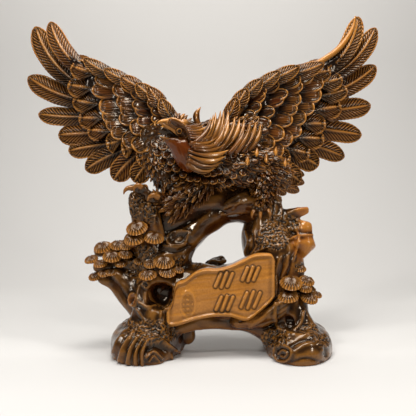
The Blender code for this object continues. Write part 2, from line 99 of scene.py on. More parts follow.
RIGHT_ROWS = (
    ("primary", ((357, 17), (358, 17)), ((318, 75), (318, 75)), 2, 20, 4, 2, (10, 10)),
    ("primary", ((375, 28), (375, 66), (370, 105), (361, 135), (344, 157), (318, 166), (300, 182)),
     ((320, 82), (318, 97), (309, 111), (301, 126), (292, 139), (282, 150), (266, 162)),
     7, 23, 3, 0, (9, 5, 2, 0, -1, -2, -2)),
    ("outer", ((331, 69), (342, 77), (347, 91), (342, 107), (326, 123), (322, 138), (308, 152), (288, 160)),
     ((302, 78), (312, 86), (314, 97), (311, 111), (300, 125), (294, 138), (286, 149), (268, 155)),
     8, 24, 3, -3, (0,)),
    ("covert", ((314, 73), (322, 83), (321, 97), (310, 113), (302, 127), (294, 139), (283, 150)),
     ((288, 79), (296, 89), (296, 100), (287, 114), (279, 125), (271, 136), (262, 146)), 8, 20, 3, -5, (0,)),
    ("covert", ((299, 77), (303, 88), (300, 102), (294, 117), (284, 131), (274, 143)),
     ((276, 84), (281, 94), (279, 105), (272, 117), (262, 128), (252, 139)), 7, 18, 2, -7, (0,)),
    ("smooth", ((281, 82), (286, 93), (280, 105), (273, 117), (264, 128), (255, 138)),
     ((260, 89), (265, 99), (260, 109), (253, 119), (244, 128), (236, 137)), 7, 15, 1, -9, (0,)),
    ("smooth", ((265, 88), (266, 98), (260, 108), (252, 119), (244, 130)),
     ((246, 97), (246, 106), (241, 114), (234, 122), (228, 132)), 6, 13, 0, -10.5, (0,)),
    ("edge", ((322, 61), (293, 67), (269, 77), (251, 87), (237, 99)),
     ((288, 76), (261, 84), (246, 95), (233, 108), (223, 124)), 6, 16, -4, -11, (1.5,)),
)
# The thick smooth quill along the upper edge of the right wing's first feather: across, down and radius.
BAR = ((355.3, 16.5, 0.8), (353, 27, 1.9), (346.5, 39, 2.6), (337, 50, 3.0), (326, 58, 3.0), (312, 66, 2.6))
LEFT_PLATE = (((68, 56), (90, 66), (110, 76), (130, 84), (148, 92), (163, 103), (175, 118)),
              ((62, 78), (74, 100), (86, 120), (102, 138), (122, 152), (144, 162), (172, 168)))
RIGHT_PLATE = (((340, 56), (318, 67), (292, 73), (270, 80), (251, 89), (238, 102), (228, 118)),
               ((348, 80), (342, 100), (332, 120), (318, 138), (302, 152), (280, 164), (246, 168)))
PLATE_STEPS, PLATE_LEVELS = 48, 24
ARM_RADII = (3, 4, 5, 5.5, 6, 7, 8)
# The feathers on the wings' backs: how far their roots and tips lie behind, and their share of the width.
BACK_ROOT, BACK_TIP, BACK_BREADTH = 5.0, 9.0, 1.3
# How far a covert's tip may stray, in units, and the ranges of width, rubbing and warmth along a wing.
JITTER = 2.3
WIDTHS, RUBS, WARMTHS = (0.90, 1.12), (0.45, 1.1), (0.05, 0.5)
WING_TWIST = 0.22

# The rounded ends of every limb, in shares of its radius: the last rings, and how far the end reaches.
END_RADII = (0.94, 0.75, 0.42)
END_REACH = 0.78

# The eagle's limbs: places (across, down, depth, radius) from root to end.
TORSO = ((196, 160, -20, 21), (216, 164, -14, 26), (242, 166, -4, 25), (264, 170, 8, 18), (284, 177, 26, 8))
SHOULDERS = ((148, 134, 8, 9), (172, 141, 2, 18), (206, 147, -4, 25), (238, 140, 0, 20), (260, 130, 6, 10))
NECK = ((216, 160, -14, 23), (200, 154, -28, 21), (191, 147, -38, 17), (187, 139, -43, 13))
THROAT = ((193, 158, -44, 15), (185, 151, -48, 13.5), (176, 144.5, -52, 8.5), (167, 140.2, -57, 2.6))
BREAST = ((158, 147, -8, 15), (162, 162, -12, 17), (172, 178, -20, 16), (186, 192, -26, 13))
HEAD = ((190, 132, -42, 10.5), (182, 127.5, -48, 9), (175, 125.5, -52, 7.2))
UPPER_BEAK = ((178, 127.2, -51, 8.0), (171, 124.2, -55, 5.7), (165, 122.4, -59, 3.7),
              (161, 122.0, -61.5, 2.2), (158.3, 122.6, -63, 1.2), (157, 124.2, -63.5, 0.5))
LOWER_BEAK = ((181, 139, -50, 3.0), (173, 139.3, -55, 1.6), (166, 138.8, -59.5, 1.3), (160.6, 137, -62, 0.9))
BROW = ((168, 119.8, -59, 1.4), (174, 120, -59.5, 2.2), (182, 124.5, -58.5, 2.2), (188, 131, -54, 1.6))
TONGUE = ((178, 136.6, -50, 1.0), (171, 135.8, -53, 1.0), (166, 135.2, -55, 0.5))
# A fill set back between the beaks, which the head paints dark: painted shade inside the open mouth.
SHADED_MOUTH_FILL = ((177, 135.4, -49, 2.8), (171, 132.8, -50, 3.8), (165, 130.6, -51, 4.4), (161.5, 130, -51.5, 3.6))
EYE = (179.3, 131.0, -57.8, 1.5)
# The edge between the upper beak and the open mouth, and the box (across, down, depth) of the finer carving.
MOUTH_ROOF = ((158, 165, 172, 178), (125.0, 127.6, 131.4, 136.2))
FACE_BOX = (188, 141, -44)
# Lines carved on the head: their points, breadth, and height (below 0 for a groove).
HEAD_LINES = (
    (((158.5, 124.2), (163, 125.8), (171, 129.6), (178, 135.0)), 0.7, 1.0),
    (((163, 122.8), (168, 125.6), (174, 129.0), (177, 132.0)), 0.6, -0.8),
    (((170, 119), (168.6, 123), (171, 127.5)), 0.6, -0.6),
    (((165, 122.6),), 0.8, -0.8),
    (((177, 137.5), (182, 138.5), (186, 136)), 0.7, -0.6),
    (((172, 123), (176, 126), (183, 127), (188, 132)), 0.7, -0.7),
    (((182, 132), (186, 135), (190, 142)), 0.7, -0.6),
)
LEFT_THIGH = ((205, 170, -22, 17), (192, 188, -26, 15), (178, 203, -28, 10), (170, 210, -28, 6))
LEFT_SHANK = ((174, 204, -28, 7), (160, 200, -31, 6), (148, 196, -34, 5))
RIGHT_THIGH = ((252, 168, -4, 15), (262, 182, -10, 14), (262, 196, -14, 9), (260, 208, -15, 5))
TOES = (
    ((148, 196, -35, 5), (139, 190, -37, 3.6), (131, 187.5, -38, 3)),
    ((149, 197, -36, 5), (144, 189, -40, 3.4), (139, 187, -42, 2.8)),
    ((150, 198, -36, 5), (158, 200, -40, 3.4), (156, 198, -44, 2.8)),
    ((149, 195, -33, 4.5), (147, 191, -33, 3), (146, 188, -32, 2)),
    ((260, 204, -15, 5), (255, 208, -19, 3.2), (253, 213, -21, 2.2)),
    ((261, 204, -15, 5), (261, 209, -20, 3.2), (260.5, 215, -22, 2.2)),
    ((262, 204, -14, 5), (267, 207, -18, 3.2), (269, 212, -20, 2.2)),
)
CLAW_TONE = (0.50, 0.22, 0.5)
CLAWS = (
    ((132, 188, -39, 2.6), (128, 188.2, -40, 2.3), (125, 190.5, -41, 1.5), (123.7, 194, -41.5, 0.5)),
    ((141, 187, -44, 2.6), (137.5, 185.5, -45, 2.3), (134.5, 187.5, -45.5, 1.5), (133.6, 191.5, -46, 0.5)),
    ((158, 197, -46, 2.8), (154, 195.2, -47.5, 2.5), (149.5, 197, -48.5, 1.6), (147.3, 200.8, -49, 0.5)),
    ((146.5, 190, -33, 2.2), (146, 186.5, -34, 1.8), (144.5, 184.5, -35, 0.6)),
    ((253.5, 211, -23, 1.8), (252, 215, -25, 1.4), (252, 218, -25, 0.4)),
    ((260.5, 213, -24, 1.8), (260.3, 217, -26, 1.4), (260.5, 220, -26, 0.4)),
    ((268.5, 210, -22, 1.8), (270, 214, -24, 1.4), (270, 217.5, -24, 0.4)),
)

# The pine: its stems and branches, then its knobs, cut branches and roots.
STEMS = (
    ((289, 336, -30, 19), (288, 310, -24, 19), (284, 286, -15, 21), (274, 258, -6, 28), (266, 234, 0, 25),
     (262, 212, 0, 17)),
    ((146, 337, -34, 22), (150, 322, -34, 20), (154, 306, -30, 21), (158, 288, -22, 24)),
    ((152, 286, -20, 23), (185, 290, -20, 26), (220, 293, -18, 28), (255, 289, -15, 28), (282, 284, -12, 22)),
    ((276, 226, 0, 19), (256, 211, 0, 18), (230, 207, -3, 16), (204, 221, -10, 15), (184, 239, -17, 16),
     (170, 256, -20, 20), (154, 270, -22, 18)),
    ((132, 242, -20, 10), (150, 230, -14, 14), (176, 216, -10, 18), (206, 202, -6, 18), (236, 200, -2, 18),
     (262, 206, 2, 15)),
    ((160, 268, -22, 12), (142, 263, -17, 10), (120, 262, -12, 8), (98, 268, -10, 6)),
    ((150, 262, -14, 11), (138, 246, -8, 9), (120, 248, -6, 7), (98, 252, -4, 5)),
    ((164, 331, -34, 9), (195, 322, -30, 8), (225, 320, -28, 9), (250, 324, -30, 9), (274, 336, -34, 10)),
)
STUBS = (
    ((147, 238, -28, 8), (140, 216, -31, 9), (136.5, 197, -33, 7.5)),
    ((158, 240, -26, 9), (151, 218, -30, 9), (149.5, 204, -33, 7)),
    ((152, 262, -24, 14), (149, 242, -26, 12), (146, 228, -28, 9)),
    ((286, 300, -22, 11), (302, 297, -26, 9), (312, 292, -28, 6)),
    ((286, 292, -20, 10), (300, 287, -24, 8), (308, 286, -26, 6)),
    ((148, 314, -28, 14), (134, 300, -22, 12), (118, 284, -16, 9), (102, 277, -14, 6)),
    ((238, 321, -38, 7), (262, 318, -42, 8), (276, 310, -40, 8), (288, 298, -32, 9)),
    ((190, 306, -12, 12), (187, 326, -14, 9), (188, 338, -16, 7)),
    ((168, 304, -36, 10), (162, 322, -44, 9), (158, 338, -50, 9)),
    ((296, 308, -30, 9), (306, 324, -36, 8), (314, 338, -40, 8)),
    ((210, 276, 2, 12), (214, 266, 8, 9), (222, 260, 8, 5)),
    ((224, 209, -14, 7), (238, 203, -18, 10), (250, 204, -14, 8)),
    ((273, 226, -8, 7), (276, 212, -6, 6), (278, 198, 0, 4)),
    ((142, 294, -24, 15), (130, 283, -18, 12), (116, 274, -16, 8)),
)
TRUNK_LIMBS = STEMS[2:7] + STUBS[:7] + STUBS[9:]
ROOT_LIMBS = STEMS[:2] + STEMS[7:] + STUBS[6:10]
CUT_BRANCHES = (
    ((280, 252, 4, 14), (294, 247, -6, 16), (303, 243, -17, 14)),
    ((278, 236, 0, 13), (295, 231, -6, 13), (304, 229, -16, 10)),
    ((278, 219, -4, 8), (292, 214, -8, 7.5), (307, 210.5, -8, 5)),
)
# Hollows cut into the wood, then the boulders: left edge, right edge and top.
SCOOPS = (
    ((160, 296, -72, 17), (160, 296, -54, 16.5), (163, 295, -38, 11)),
    ((288, 320, -74, 12), (288, 321, -56, 11), (288, 322, -44, 6)),
)
BOULDERS = ((109, 184, 319), (261, 331, 322))
BOULDER_SIDES = 64
BOULDER_DEPTH = 0.196
BOULDER_FRONT = -77.0
BOULDER_PROFILE = ((0.0, 0.965), (0.08, 0.985), (0.35, 1.0), (0.55, 0.95), (0.72, 0.87), (0.86, 0.73),
                   (0.94, 0.56), (0.98, 0.35))

# Lines carved in the wood, as seen from the front: their points, breadth, and height (below 0 for a groove).
WOOD_LINES = (
    (((209, 213), (200, 223), (191, 234)), 3.5, 1.5),
    (((222, 214), (237, 213), (249, 211.5), (256, 214)), 2.2, 1.6),
    (((222, 207), (232, 199), (246, 193)), 3.0, 1.2),
    (((233, 209), (241, 201)), 1.6, 1.0),
    (((226, 211), (238, 206), (252, 205)), 2.0, -1.4),
    (((189, 232), (180, 231), (170, 234), (167, 240), (171, 245), (184, 243), (189, 232)), 1.5, 1.6),
    (((172, 239), (178, 235.5), (184, 236)), 2.6, -2.2),
    (((164, 246), (175, 247.5), (184, 245), (186, 242)), 1.4, 1.5),
    (((162, 251), (176, 252), (190, 246)), 1.8, -1.2),
    (((246, 232), (248, 243), (243, 256)), 1.6, 1.5),
    (((252, 234), (253, 246), (247, 257)), 1.4, -1.6),
    (((260, 232), (258, 244), (252, 254)), 1.6, 1.4),
    (((256, 252), (269, 247), (283, 245)), 1.5, 1.6),
    (((293, 224), (299, 236), (296, 250), (293, 260)), 1.3, 1.6),
    (((288, 240), (299, 236), (313, 235)), 1.3, 1.5),
    (((288, 213), (298, 209.5), (309, 208)), 1.4, 1.2),
    (((275, 196), (281, 207), (280, 220)), 1.3, 1.4),
    (((270, 198), (274, 208), (272, 220)), 1.3, -1.4),
    (((272, 214), (277, 216), (281, 214)), 1.0, 0.9),
    (((272, 218), (277, 220), (281, 218)), 1.0, 0.9),
    (((204, 264), (212, 261), (223, 262), (233, 257), (243, 254)), 1.6, 1.6),
    (((196, 266), (208, 257), (224, 257), (240, 250)), 1.4, -1.2),
    (((279, 259), (276, 274), (277, 296)), 1.4, 1.8),
    (((284, 256), (281, 272), (278, 293)), 1.3, -1.6),
    (((288, 256), (286, 267), (281, 277)), 1.4, 1.6),
    (((292, 258), (290, 268), (287, 276)), 1.3, -1.4),
    (((141, 303), (148, 307.5), (157, 306), (165, 309)), 1.7, 2.2),
    (((140, 286), (138, 294), (140, 303)), 1.8, 1.6),
    (((176, 283), (172, 299), (166, 309)), 2.0, 1.2),
    (((129, 300), (131, 294), (136, 294.5), (137.5, 301), (135, 306.5), (130.5, 305), (129, 300)), 1.2, 1.8),
    (((133, 300),), 2.6, -2.4),
    (((142, 284), (146, 281), (149, 285), (146, 288), (142, 284)), 1.2, 1.4),
    (((250, 326), (262, 319), (274, 307), (281, 303)), 2.4, 1.8),
    (((240, 322), (256, 313), (268, 304), (277, 296)), 1.6, -1.8),
    (((161, 312), (160, 321), (163, 331)), 1.6, 1.6),
    (((166, 312), (166, 322), (169, 331)), 1.6, -1.4),
    (((137, 309), (141, 315), (146, 322)), 1.5, 1.0),
    (((276, 305), (274.6, 315), (277, 325), (283, 331.5), (293, 332), (301, 322), (303, 312)), 1.8, 2.4),
    (((284, 320), (286, 325), (291, 326)), 1.6, 1.2),
    (((127, 328), (118, 340), (113, 352)), 2.2, 1.5),
    (((133, 333), (124, 345), (119, 360)), 2.1, 1.8),
    (((139, 335), (131, 347), (127, 362)), 2.0, 1.8),
    (((143, 339), (137, 350), (135, 364)), 1.8, 1.7),
    (((146, 343), (142, 353), (142, 366)), 1.8, 2.2),
    (((128, 334), (120, 347), (116, 360)), 1.5, -1.6),
    (((134, 337), (126.5, 351), (124, 364)), 1.5, -1.7),
    (((139.5, 339), (132.5, 353), (132, 366)), 1.5, -1.7),
    (((143, 344), (138.5, 353), (139, 366)), 1.4, -1.7),
    (((142, 351), (146, 343), (157, 339.5), (167, 345), (177, 352)), 2.0, 2.6),
    (((149, 350), (156, 346.5), (164, 350)), 4.0, -3.2),
    (((146, 357), (153.6, 351.5), (161.5, 358)), 1.4, 2.2),
    (((149, 361), (153.6, 356), (158.5, 361)), 1.2, 1.8),
    (((172, 357), (173.5, 351.5), (178, 351), (180.6, 356), (178.6, 362), (174, 362), (172, 357)), 1.3, 2.0),
    (((176.4, 356.5),), 2.2, -2.6),
    (((148, 366), (160, 362.5), (170, 365)), 1.6, 1.4),
    (((274, 354), (276, 348), (283, 346), (290, 349), (291.5, 355), (287, 360.5), (279, 360.5), (274, 354)),
     1.5, 2.2),
    (((279, 354), (283, 350.5), (287.5, 353), (285, 357), (281.5, 356)), 1.2, 1.6),
    (((291, 346), (300, 341), (312, 338)), 2.0, -1.6),
    (((294, 352), (306, 345), (322, 344)), 2.6, 1.0),
    (((318, 338), (324, 346), (326, 356)), 1.6, -1.5),
    (((304, 332), (314, 338), (322, 350)), 2.0, 1.2),
    (((292, 362), (306, 358), (322, 362)), 1.6, -1.0),
    (((262, 336), (266, 348), (270, 362)), 1.8, 1.2),
)
# Heights of the wood's relief in units, how its furrows turn about a limb, and its glaze and rubbed gold.
LUMP_HEIGHT, FURROW_HEIGHT, STRAND_HEIGHT = 1.1, 1.1, 0.4
FLOW_STEPS, FURROW_TWIST = 14, 0.012
BATCH = 4000
TRUNK_SHADE, ROOT_SHADE, WOOD_RUB = 0.42, 0.22, 0.40
# Where moss grows, as seen from the front: middle (across, down) and half sizes.
MOSS = (
    (136, 204, 8, 15), (150, 213, 7, 11), (150, 262, 9, 8), (146, 252, 12, 7), (135, 268, 9, 8),
    (178, 262, 6, 5), (272, 240, 16, 11), (287, 224, 12, 9), (275, 226, 12, 9), (300, 268, 6, 5),
    (296, 291, 7, 7), (153, 332, 23, 12), (126, 322, 7, 5), (276, 338, 14, 10), (309, 329, 9, 6),
    (323, 341, 7, 7), (196, 262, 6, 4),
)
# Where the wood is freshly cut, in the same way.
CUT_WOOD = ((305, 240, 13, 22), (305, 210, 9, 6), (132, 300, 4, 6))
# The cushions of needles: across, down, depth, radius, lean and roll in degrees.
CUSHIONS = (
    (137, 229, -40, 10, 34, -8), (134.5, 240.5, -40, 9.5, 26, -6), (153.5, 238.5, -40, 9.5, 28, 10),
    (103, 248, -10, 9, 30, -10), (118, 246, -14, 8, 28, 0), (91.5, 260, -14, 6.8, 24, -14),
    (100.5, 264.5, -20, 6.8, 22, -4), (112, 257.5, -22, 9.2, 26, 4), (125.5, 255, -25, 6.8, 26, 6),
    (121, 264.5, -23, 6, 22, 0), (95, 277, -17, 6.3, 30, -10), (104, 274, -21, 6, 24, 2),
    (111, 273, -22, 5.6, 24, 2),
    (164, 262.5, -39, 10, 30, 4), (151.5, 264.5, -38, 7, 26, -6), (148, 275.5, -42, 8.4, 26, -4),
    (167.5, 273, -42, 8, 26, 4), (178.5, 270.5, -40, 5, 24, 10),
    (291, 284, -38, 10.4, 28, 0), (288, 297.5, -40, 9.6, 24, -4), (306.5, 281.5, -32, 7.5, 28, 12),
    (304.5, 288.5, -36, 7, 26, 8), (309, 299, -36, 8.2, 26, 12), (316.5, 295, -30, 5.2, 24, 16),
    (300, 269, -24, 6, 26, 6), (126, 247, -22, 6, 26, 6), (140, 262, -30, 6, 24, 4),
)

CUSHION_SIDES = 60
CUSHION_DOME, CUSHION_UNDER = 0.55, 0.55

# The board: its upper and lower edges, its ends, how deep they lie, its strokes and its oval frame.
PLAQUE_TOP = ((166, 313), (172, 302), (175, 287), (178, 282), (185, 279.5), (196, 271.5), (206, 268.5),
              (218, 268.5), (230, 265.5), (243, 259.5), (255, 254), (269, 253.5), (273, 256), (275, 261))
PLAQUE_LOW = ((166, 314), (168, 325), (177, 326), (193, 321), (206, 318), (218, 316.7), (230, 317),
              (244, 321), (251, 319.6), (264, 309), (271, 302), (275, 296))
PLAQUE_ENDS = (165.8, 275.6)
PLAQUE_COLUMNS = (166.3, 275.2, 160)
PLAQUE_GOLD = 0.80
END_CURL, END_CURL_START, END_CURL_REACH = 3.6, 188, 24
PLAQUE_LEFT, PLAQUE_RIGHT = 175.0, 274.0
PLAQUE_LEFT_DEPTH, PLAQUE_RIGHT_DEPTH = -56.0, -48.0
PLAQUE_THICKNESS = 0.026
STROKE_GROUPS = ((250.5, 274, 8.5), (250.6, 300, 10), (224, 280, 9), (224.5, 303.5, 9))
STROKE_STEPS = (-0.65, 0.0, 0.65)
STROKE_LEAN = 0.3
STROKE_BREADTH = 1.35
SEAL = (188.0, 304.5, 8.0, 14.0)

# How ridges are told from hollows: rounds of smoothing, and the relief in units that counts as full.
NEAR_ROUNDS, WIDE_ROUNDS = 3, 22
FINE_STEP, BROAD_STEP = 0.10, 0.75
# Sizes in metres of the smallest detail of each skin.
TRUNK_DETAIL, ROOT_DETAIL, BODY_DETAIL, HEAD_DETAIL = 0.0026, 0.0028, 0.0022, 0.0012

# The resin's colours, from the glaze in the grooves, whose dark also serves as painted shade, to the gold
# rubbed on the ridges.
GLAZE_AND_SHADE_BROWN = (0.003, 0.0013, 0.0008, 1.0)
DARK_BROWN = (0.008, 0.003, 0.0012, 1.0)
MID_BROWN = (0.030, 0.0100, 0.0022, 1.0)
WARM_BROWN = (0.120, 0.0210, 0.0014, 1.0)
RUBBED_GOLD = (0.51, 0.21, 0.036, 1.0)
LACQUER_TINT = (1.0, 0.84, 0.66, 1.0)
LACQUER_ROUGHNESS = (0.12, 0.22)
PATCH_SCALE, SPECK_SCALE = 38.0, 420.0
SPECK_BUMP, SPECK_HEIGHT = 0.12, 0.0006

PAPER = (0.60, 0.592, 0.58, 1.0)
SURROUND = (0.90, 0.87, 0.82, 1.0)
SURROUND_STRENGTH = 0.14
# The soft boxes: name, place, what each aims at, its sides, its power and its colour.
LIGHTS = (
    ("key", (-0.50, -1.15, 1.25), (0.0, 0.0, 0.33), (0.17, 0.17), 7.5, (1.0, 0.97, 0.93)),
    ("top", (0.15, -0.25, 1.55), (0.0, 0.0, 0.3), (0.9, 0.5), 20, (1.0, 0.98, 0.95)),
    ("right", (1.15, -0.8, 0.8), (0.0, 0.0, 0.3), (0.07, 0.45), 5.5, (1.0, 0.97, 0.93)),
    ("left", (-1.25, -0.6, 0.75), (0.0, 0.0, 0.25), (0.08, 0.45), 4, (0.97, 0.98, 1.0)),
    ("strip", (-0.35, -0.75, 1.75), (0.0, -0.05, 0.4), (0.9, 0.07), 10, (1.0, 0.97, 0.93)),
    ("wall", (0.0, 0.9, 2.0), (0.0, 1.8, 0.5), (2.4, 0.5), 16, (1.0, 0.97, 0.93)),
)


def seen(across, down, depth):
    """The place in metres of points of the front drawing that lie at this depth."""
    across, down, depth = np.broadcast_arrays(*(np.asarray(x, float) for x in (across, down, depth)))
    spread = 1.0 + depth / EYE_DISTANCE
    return UNIT * np.stack((EYE_OFFSET + (across - SHEET_MIDDLE) * spread, depth + DEPTH_OFFSET,
                            EYE_LEVEL + (SHEET_MIDDLE - down) * spread), axis=-1)


def smooth_curve(points, shares):
    """Points at shares from 0 to 1 along a Catmull-Rom curve."""
    points = np.asarray(points, float)
    at = np.clip(np.atleast_1d(shares), 0.0, 1.0) * (len(points) - 1)
    i = np.minimum(at.astype(int), len(points) - 2)
    t = (at - i)[:, None]
    padded = np.vstack((2 * points[0] - points[1], points, 2 * points[-1] - points[-2]))
    p0, p1, p2, p3 = (padded[i + k] for k in range(4))
    return 0.5 * (2 * p1 + (p2 - p0) * t + (2 * p0 - 5 * p1 + 4 * p2 - p3) * t**2
                  + (3 * p1 - p0 - 3 * p2 + p3) * t**3)


def unit(vectors):
    return vectors / np.maximum(np.linalg.norm(vectors, axis=-1, keepdims=True), 1e-12)


def hill(x, width):
    """A round bump of height 1 at 0."""
    return np.exp(-(x / width) ** 2)


def ease(x):
    x = np.clip(x, 0.0, 1.0)
    return x * x * (3 - 2 * x)


def crosswise(along):
    """The two directions square to each direction along a limb: its back and its side."""
    away = np.where(np.abs(along[:, 1:2]) < 0.85, -FRONT, UP)
    back = unit(away - np.sum(away * along, axis=1)[:, None] * along)
    return back, np.cross(along, back)


def placed(name, data):
    """An object of this data, in the scene."""
    made = bpy.data.objects.new(name, data)
    bpy.context.scene.collection.objects.link(made)
    return made


def room(points, quads, triangles):
    """Six times the volume of a closed form, below 0 where its faces look inwards."""
    corners = np.vstack((quads[:, :3], quads[:, (0, 2, 3)], triangles))
    a, b, c = (points[corners[:, k]] - points[0] for k in range(3))
    return np.sum(a * np.cross(b, c))


class Skin:
    """Closed forms gathered into one mesh, with three tones at each point: gold, groove (glaze and painted
    shade) and warmth.
    """

    def __init__(self):
        self.points, self.quads, self.triangles, self.tones, self.count = [], [], [], [], 0

    def add_rings(self, rings, tones, start=None, end=None):
        """A form skinned through rings of points, with a point or a fan that closes each end."""
        n, sides = rings.shape[:2]
        index = np.arange(n * sides).reshape(n, sides)
        after = np.roll(index, -1, axis=1)
        quads = np.stack((index[:-1], after[:-1], after[1:], index[1:]), axis=-1).reshape(-1, 4)
        points = [rings.reshape(-1, 3)]
        caps = []
        for loop, tip, turned in ((index[0], start, True), (index[-1], end, False)):
            centre = rings.reshape(-1, 3)[loop].mean(axis=0) if tip is None else np.asarray(tip)
            here = n * sides + len(points) - 1
            points.append(centre[None])
            fan = np.stack((loop, np.roll(loop, -1), np.full(sides, here)), axis=-1)
            caps.append(fan[:, ::-1] if turned else fan)
        tone = np.vstack((tones.reshape(-1, 3), tones[0].mean(axis=0)[None], tones[-1].mean(axis=0)[None]))
        points, caps = np.vstack(points), np.vstack(caps)
        if room(points, quads, caps) < 0:
            quads, caps = quads[:, ::-1], caps[:, ::-1]
        self.points.append(points)
        self.quads.append(quads + self.count)
        self.triangles.append(caps + self.count)
        self.tones.append(tone)
        self.count += len(points)

    def object(self, name, material):
        points, tones = np.vstack(self.points), np.vstack(self.tones)
        return mesh_object(name, points, np.vstack(self.quads), np.vstack(self.triangles), tones, material)


def mesh_object(name, points, quads, triangles, tones, material):
    mesh = bpy.data.meshes.new(name)
    points = inside_box(points)
    mesh.vertices.add(len(points))
    mesh.vertices.foreach_set("co", points.astype(np.float32).ravel())
    loops = np.concatenate((quads.ravel(), triangles.ravel())).astype(np.int32)
    mesh.loops.add(len(loops))
    mesh.loops.foreach_set("vertex_index", loops)
    starts = np.concatenate((np.arange(len(quads)) * 4, len(quads) * 4 + np.arange(len(triangles)) * 3))
    mesh.polygons.add(len(starts))
    mesh.polygons.foreach_set("loop_start", starts.astype(np.int32))
    mesh.update(calc_edges=True)
    mesh.validate()
    mesh.shade_smooth()
    set_tones(mesh, tones)
    mesh.materials.append(material)
    return placed(name, mesh)


def inside_box(points):
    """Keeps points within the solid's own box, where a barb or a bump would pass it."""
    return np.clip(points, CAD_BOX[0], CAD_BOX[1])


def set_tones(mesh, tones):
    colours = mesh.color_attributes.new("tone", "FLOAT_COLOR", "POINT")
    full = np.ones((len(tones), 4), np.float32)
    full[:, :3] = np.clip(tones, 0.0, 1.0)
    colours.data.foreach_set("color", full.ravel())


def wing_depth(across):
    """How deep the wing's middle surface lies: it sweeps back towards the tip."""
    share = (abs(across - WING_MIDDLE) - SHOULDER_REACH) / (TIP_REACH - SHOULDER_REACH)
    return SHOULDER_DEPTH + (TIP_DEPTH - SHOULDER_DEPTH) * np.clip(share, 0.0, 1.1) ** SWEEP_POWER


def on_wing(place, lift):
    return seen(place[0], place[1], wing_depth(place[0]) + lift)


def carving(**changes):
    """How a kind of feather is carved: what departs from a plain one.

    pitch is the step between barbs in units, or 0 for lines that run along. rows, columns and lines say how
    many it has. crown, quill, relief and rim are heights and ring a breadth, in shares of the half width.
    full, root and point shape its outline, and gold is how much it shows."""
    plain = dict(pitch=0, rows=18, columns=9, lines=0, crown=0.32, quill=0.0, relief=0.12, rim=0.0, ring=0.09,
                 full=0.50, root=0.85, point=0.50, gold=0.20)
    return {**plain, **changes}


KINDS = {
    "primary": carving(pitch=4.4, columns=12, crown=0.20, quill=0.13, relief=0.14, rim=0.09, ring=0.07,
                       full=0.70, root=0.72, point=0.52),
    "covert": carving(rows=22, columns=14, lines=5, crown=0.28, relief=0.06, rim=0.16, ring=0.11, full=0.56,
                      gold=0.13),
    "smooth": carving(lines=2.5, relief=0.035, rim=0.14, ring=0.12, full=0.52, point=0.55, gold=0.04),
    "outer": carving(pitch=3.8, crown=0.26, quill=0.09, relief=0.11, rim=0.14, ring=0.10, full=0.56,
                     gold=0.15),
    "edge": carving(pitch=3.4, quill=0.09, rim=0.12, point=0.62, gold=0.26),
    "back": carving(pitch=4.0, columns=6, crown=0.22, quill=0.12, relief=0.05, rim=0.05, full=0.6, root=0.8),
    "lock": carving(columns=5, lines=0.5, crown=0.85, relief=0.20, full=0.35, point=0.9, gold=0.14),
    "tuft": carving(rows=8, columns=4, lines=1.5, crown=0.50, quill=0.12, relief=0.22, full=0.3, root=0.7,
                    point=0.9, gold=0.06),
    "scale": carving(rows=7, columns=4, lines=1.0, crown=0.42, quill=0.14, relief=0.14, ring=0.12, full=0.45,
                     root=0.7, point=0.6, gold=0.05),
}
BARB_ROWS = 4
BARB_SLOPE = 1.25


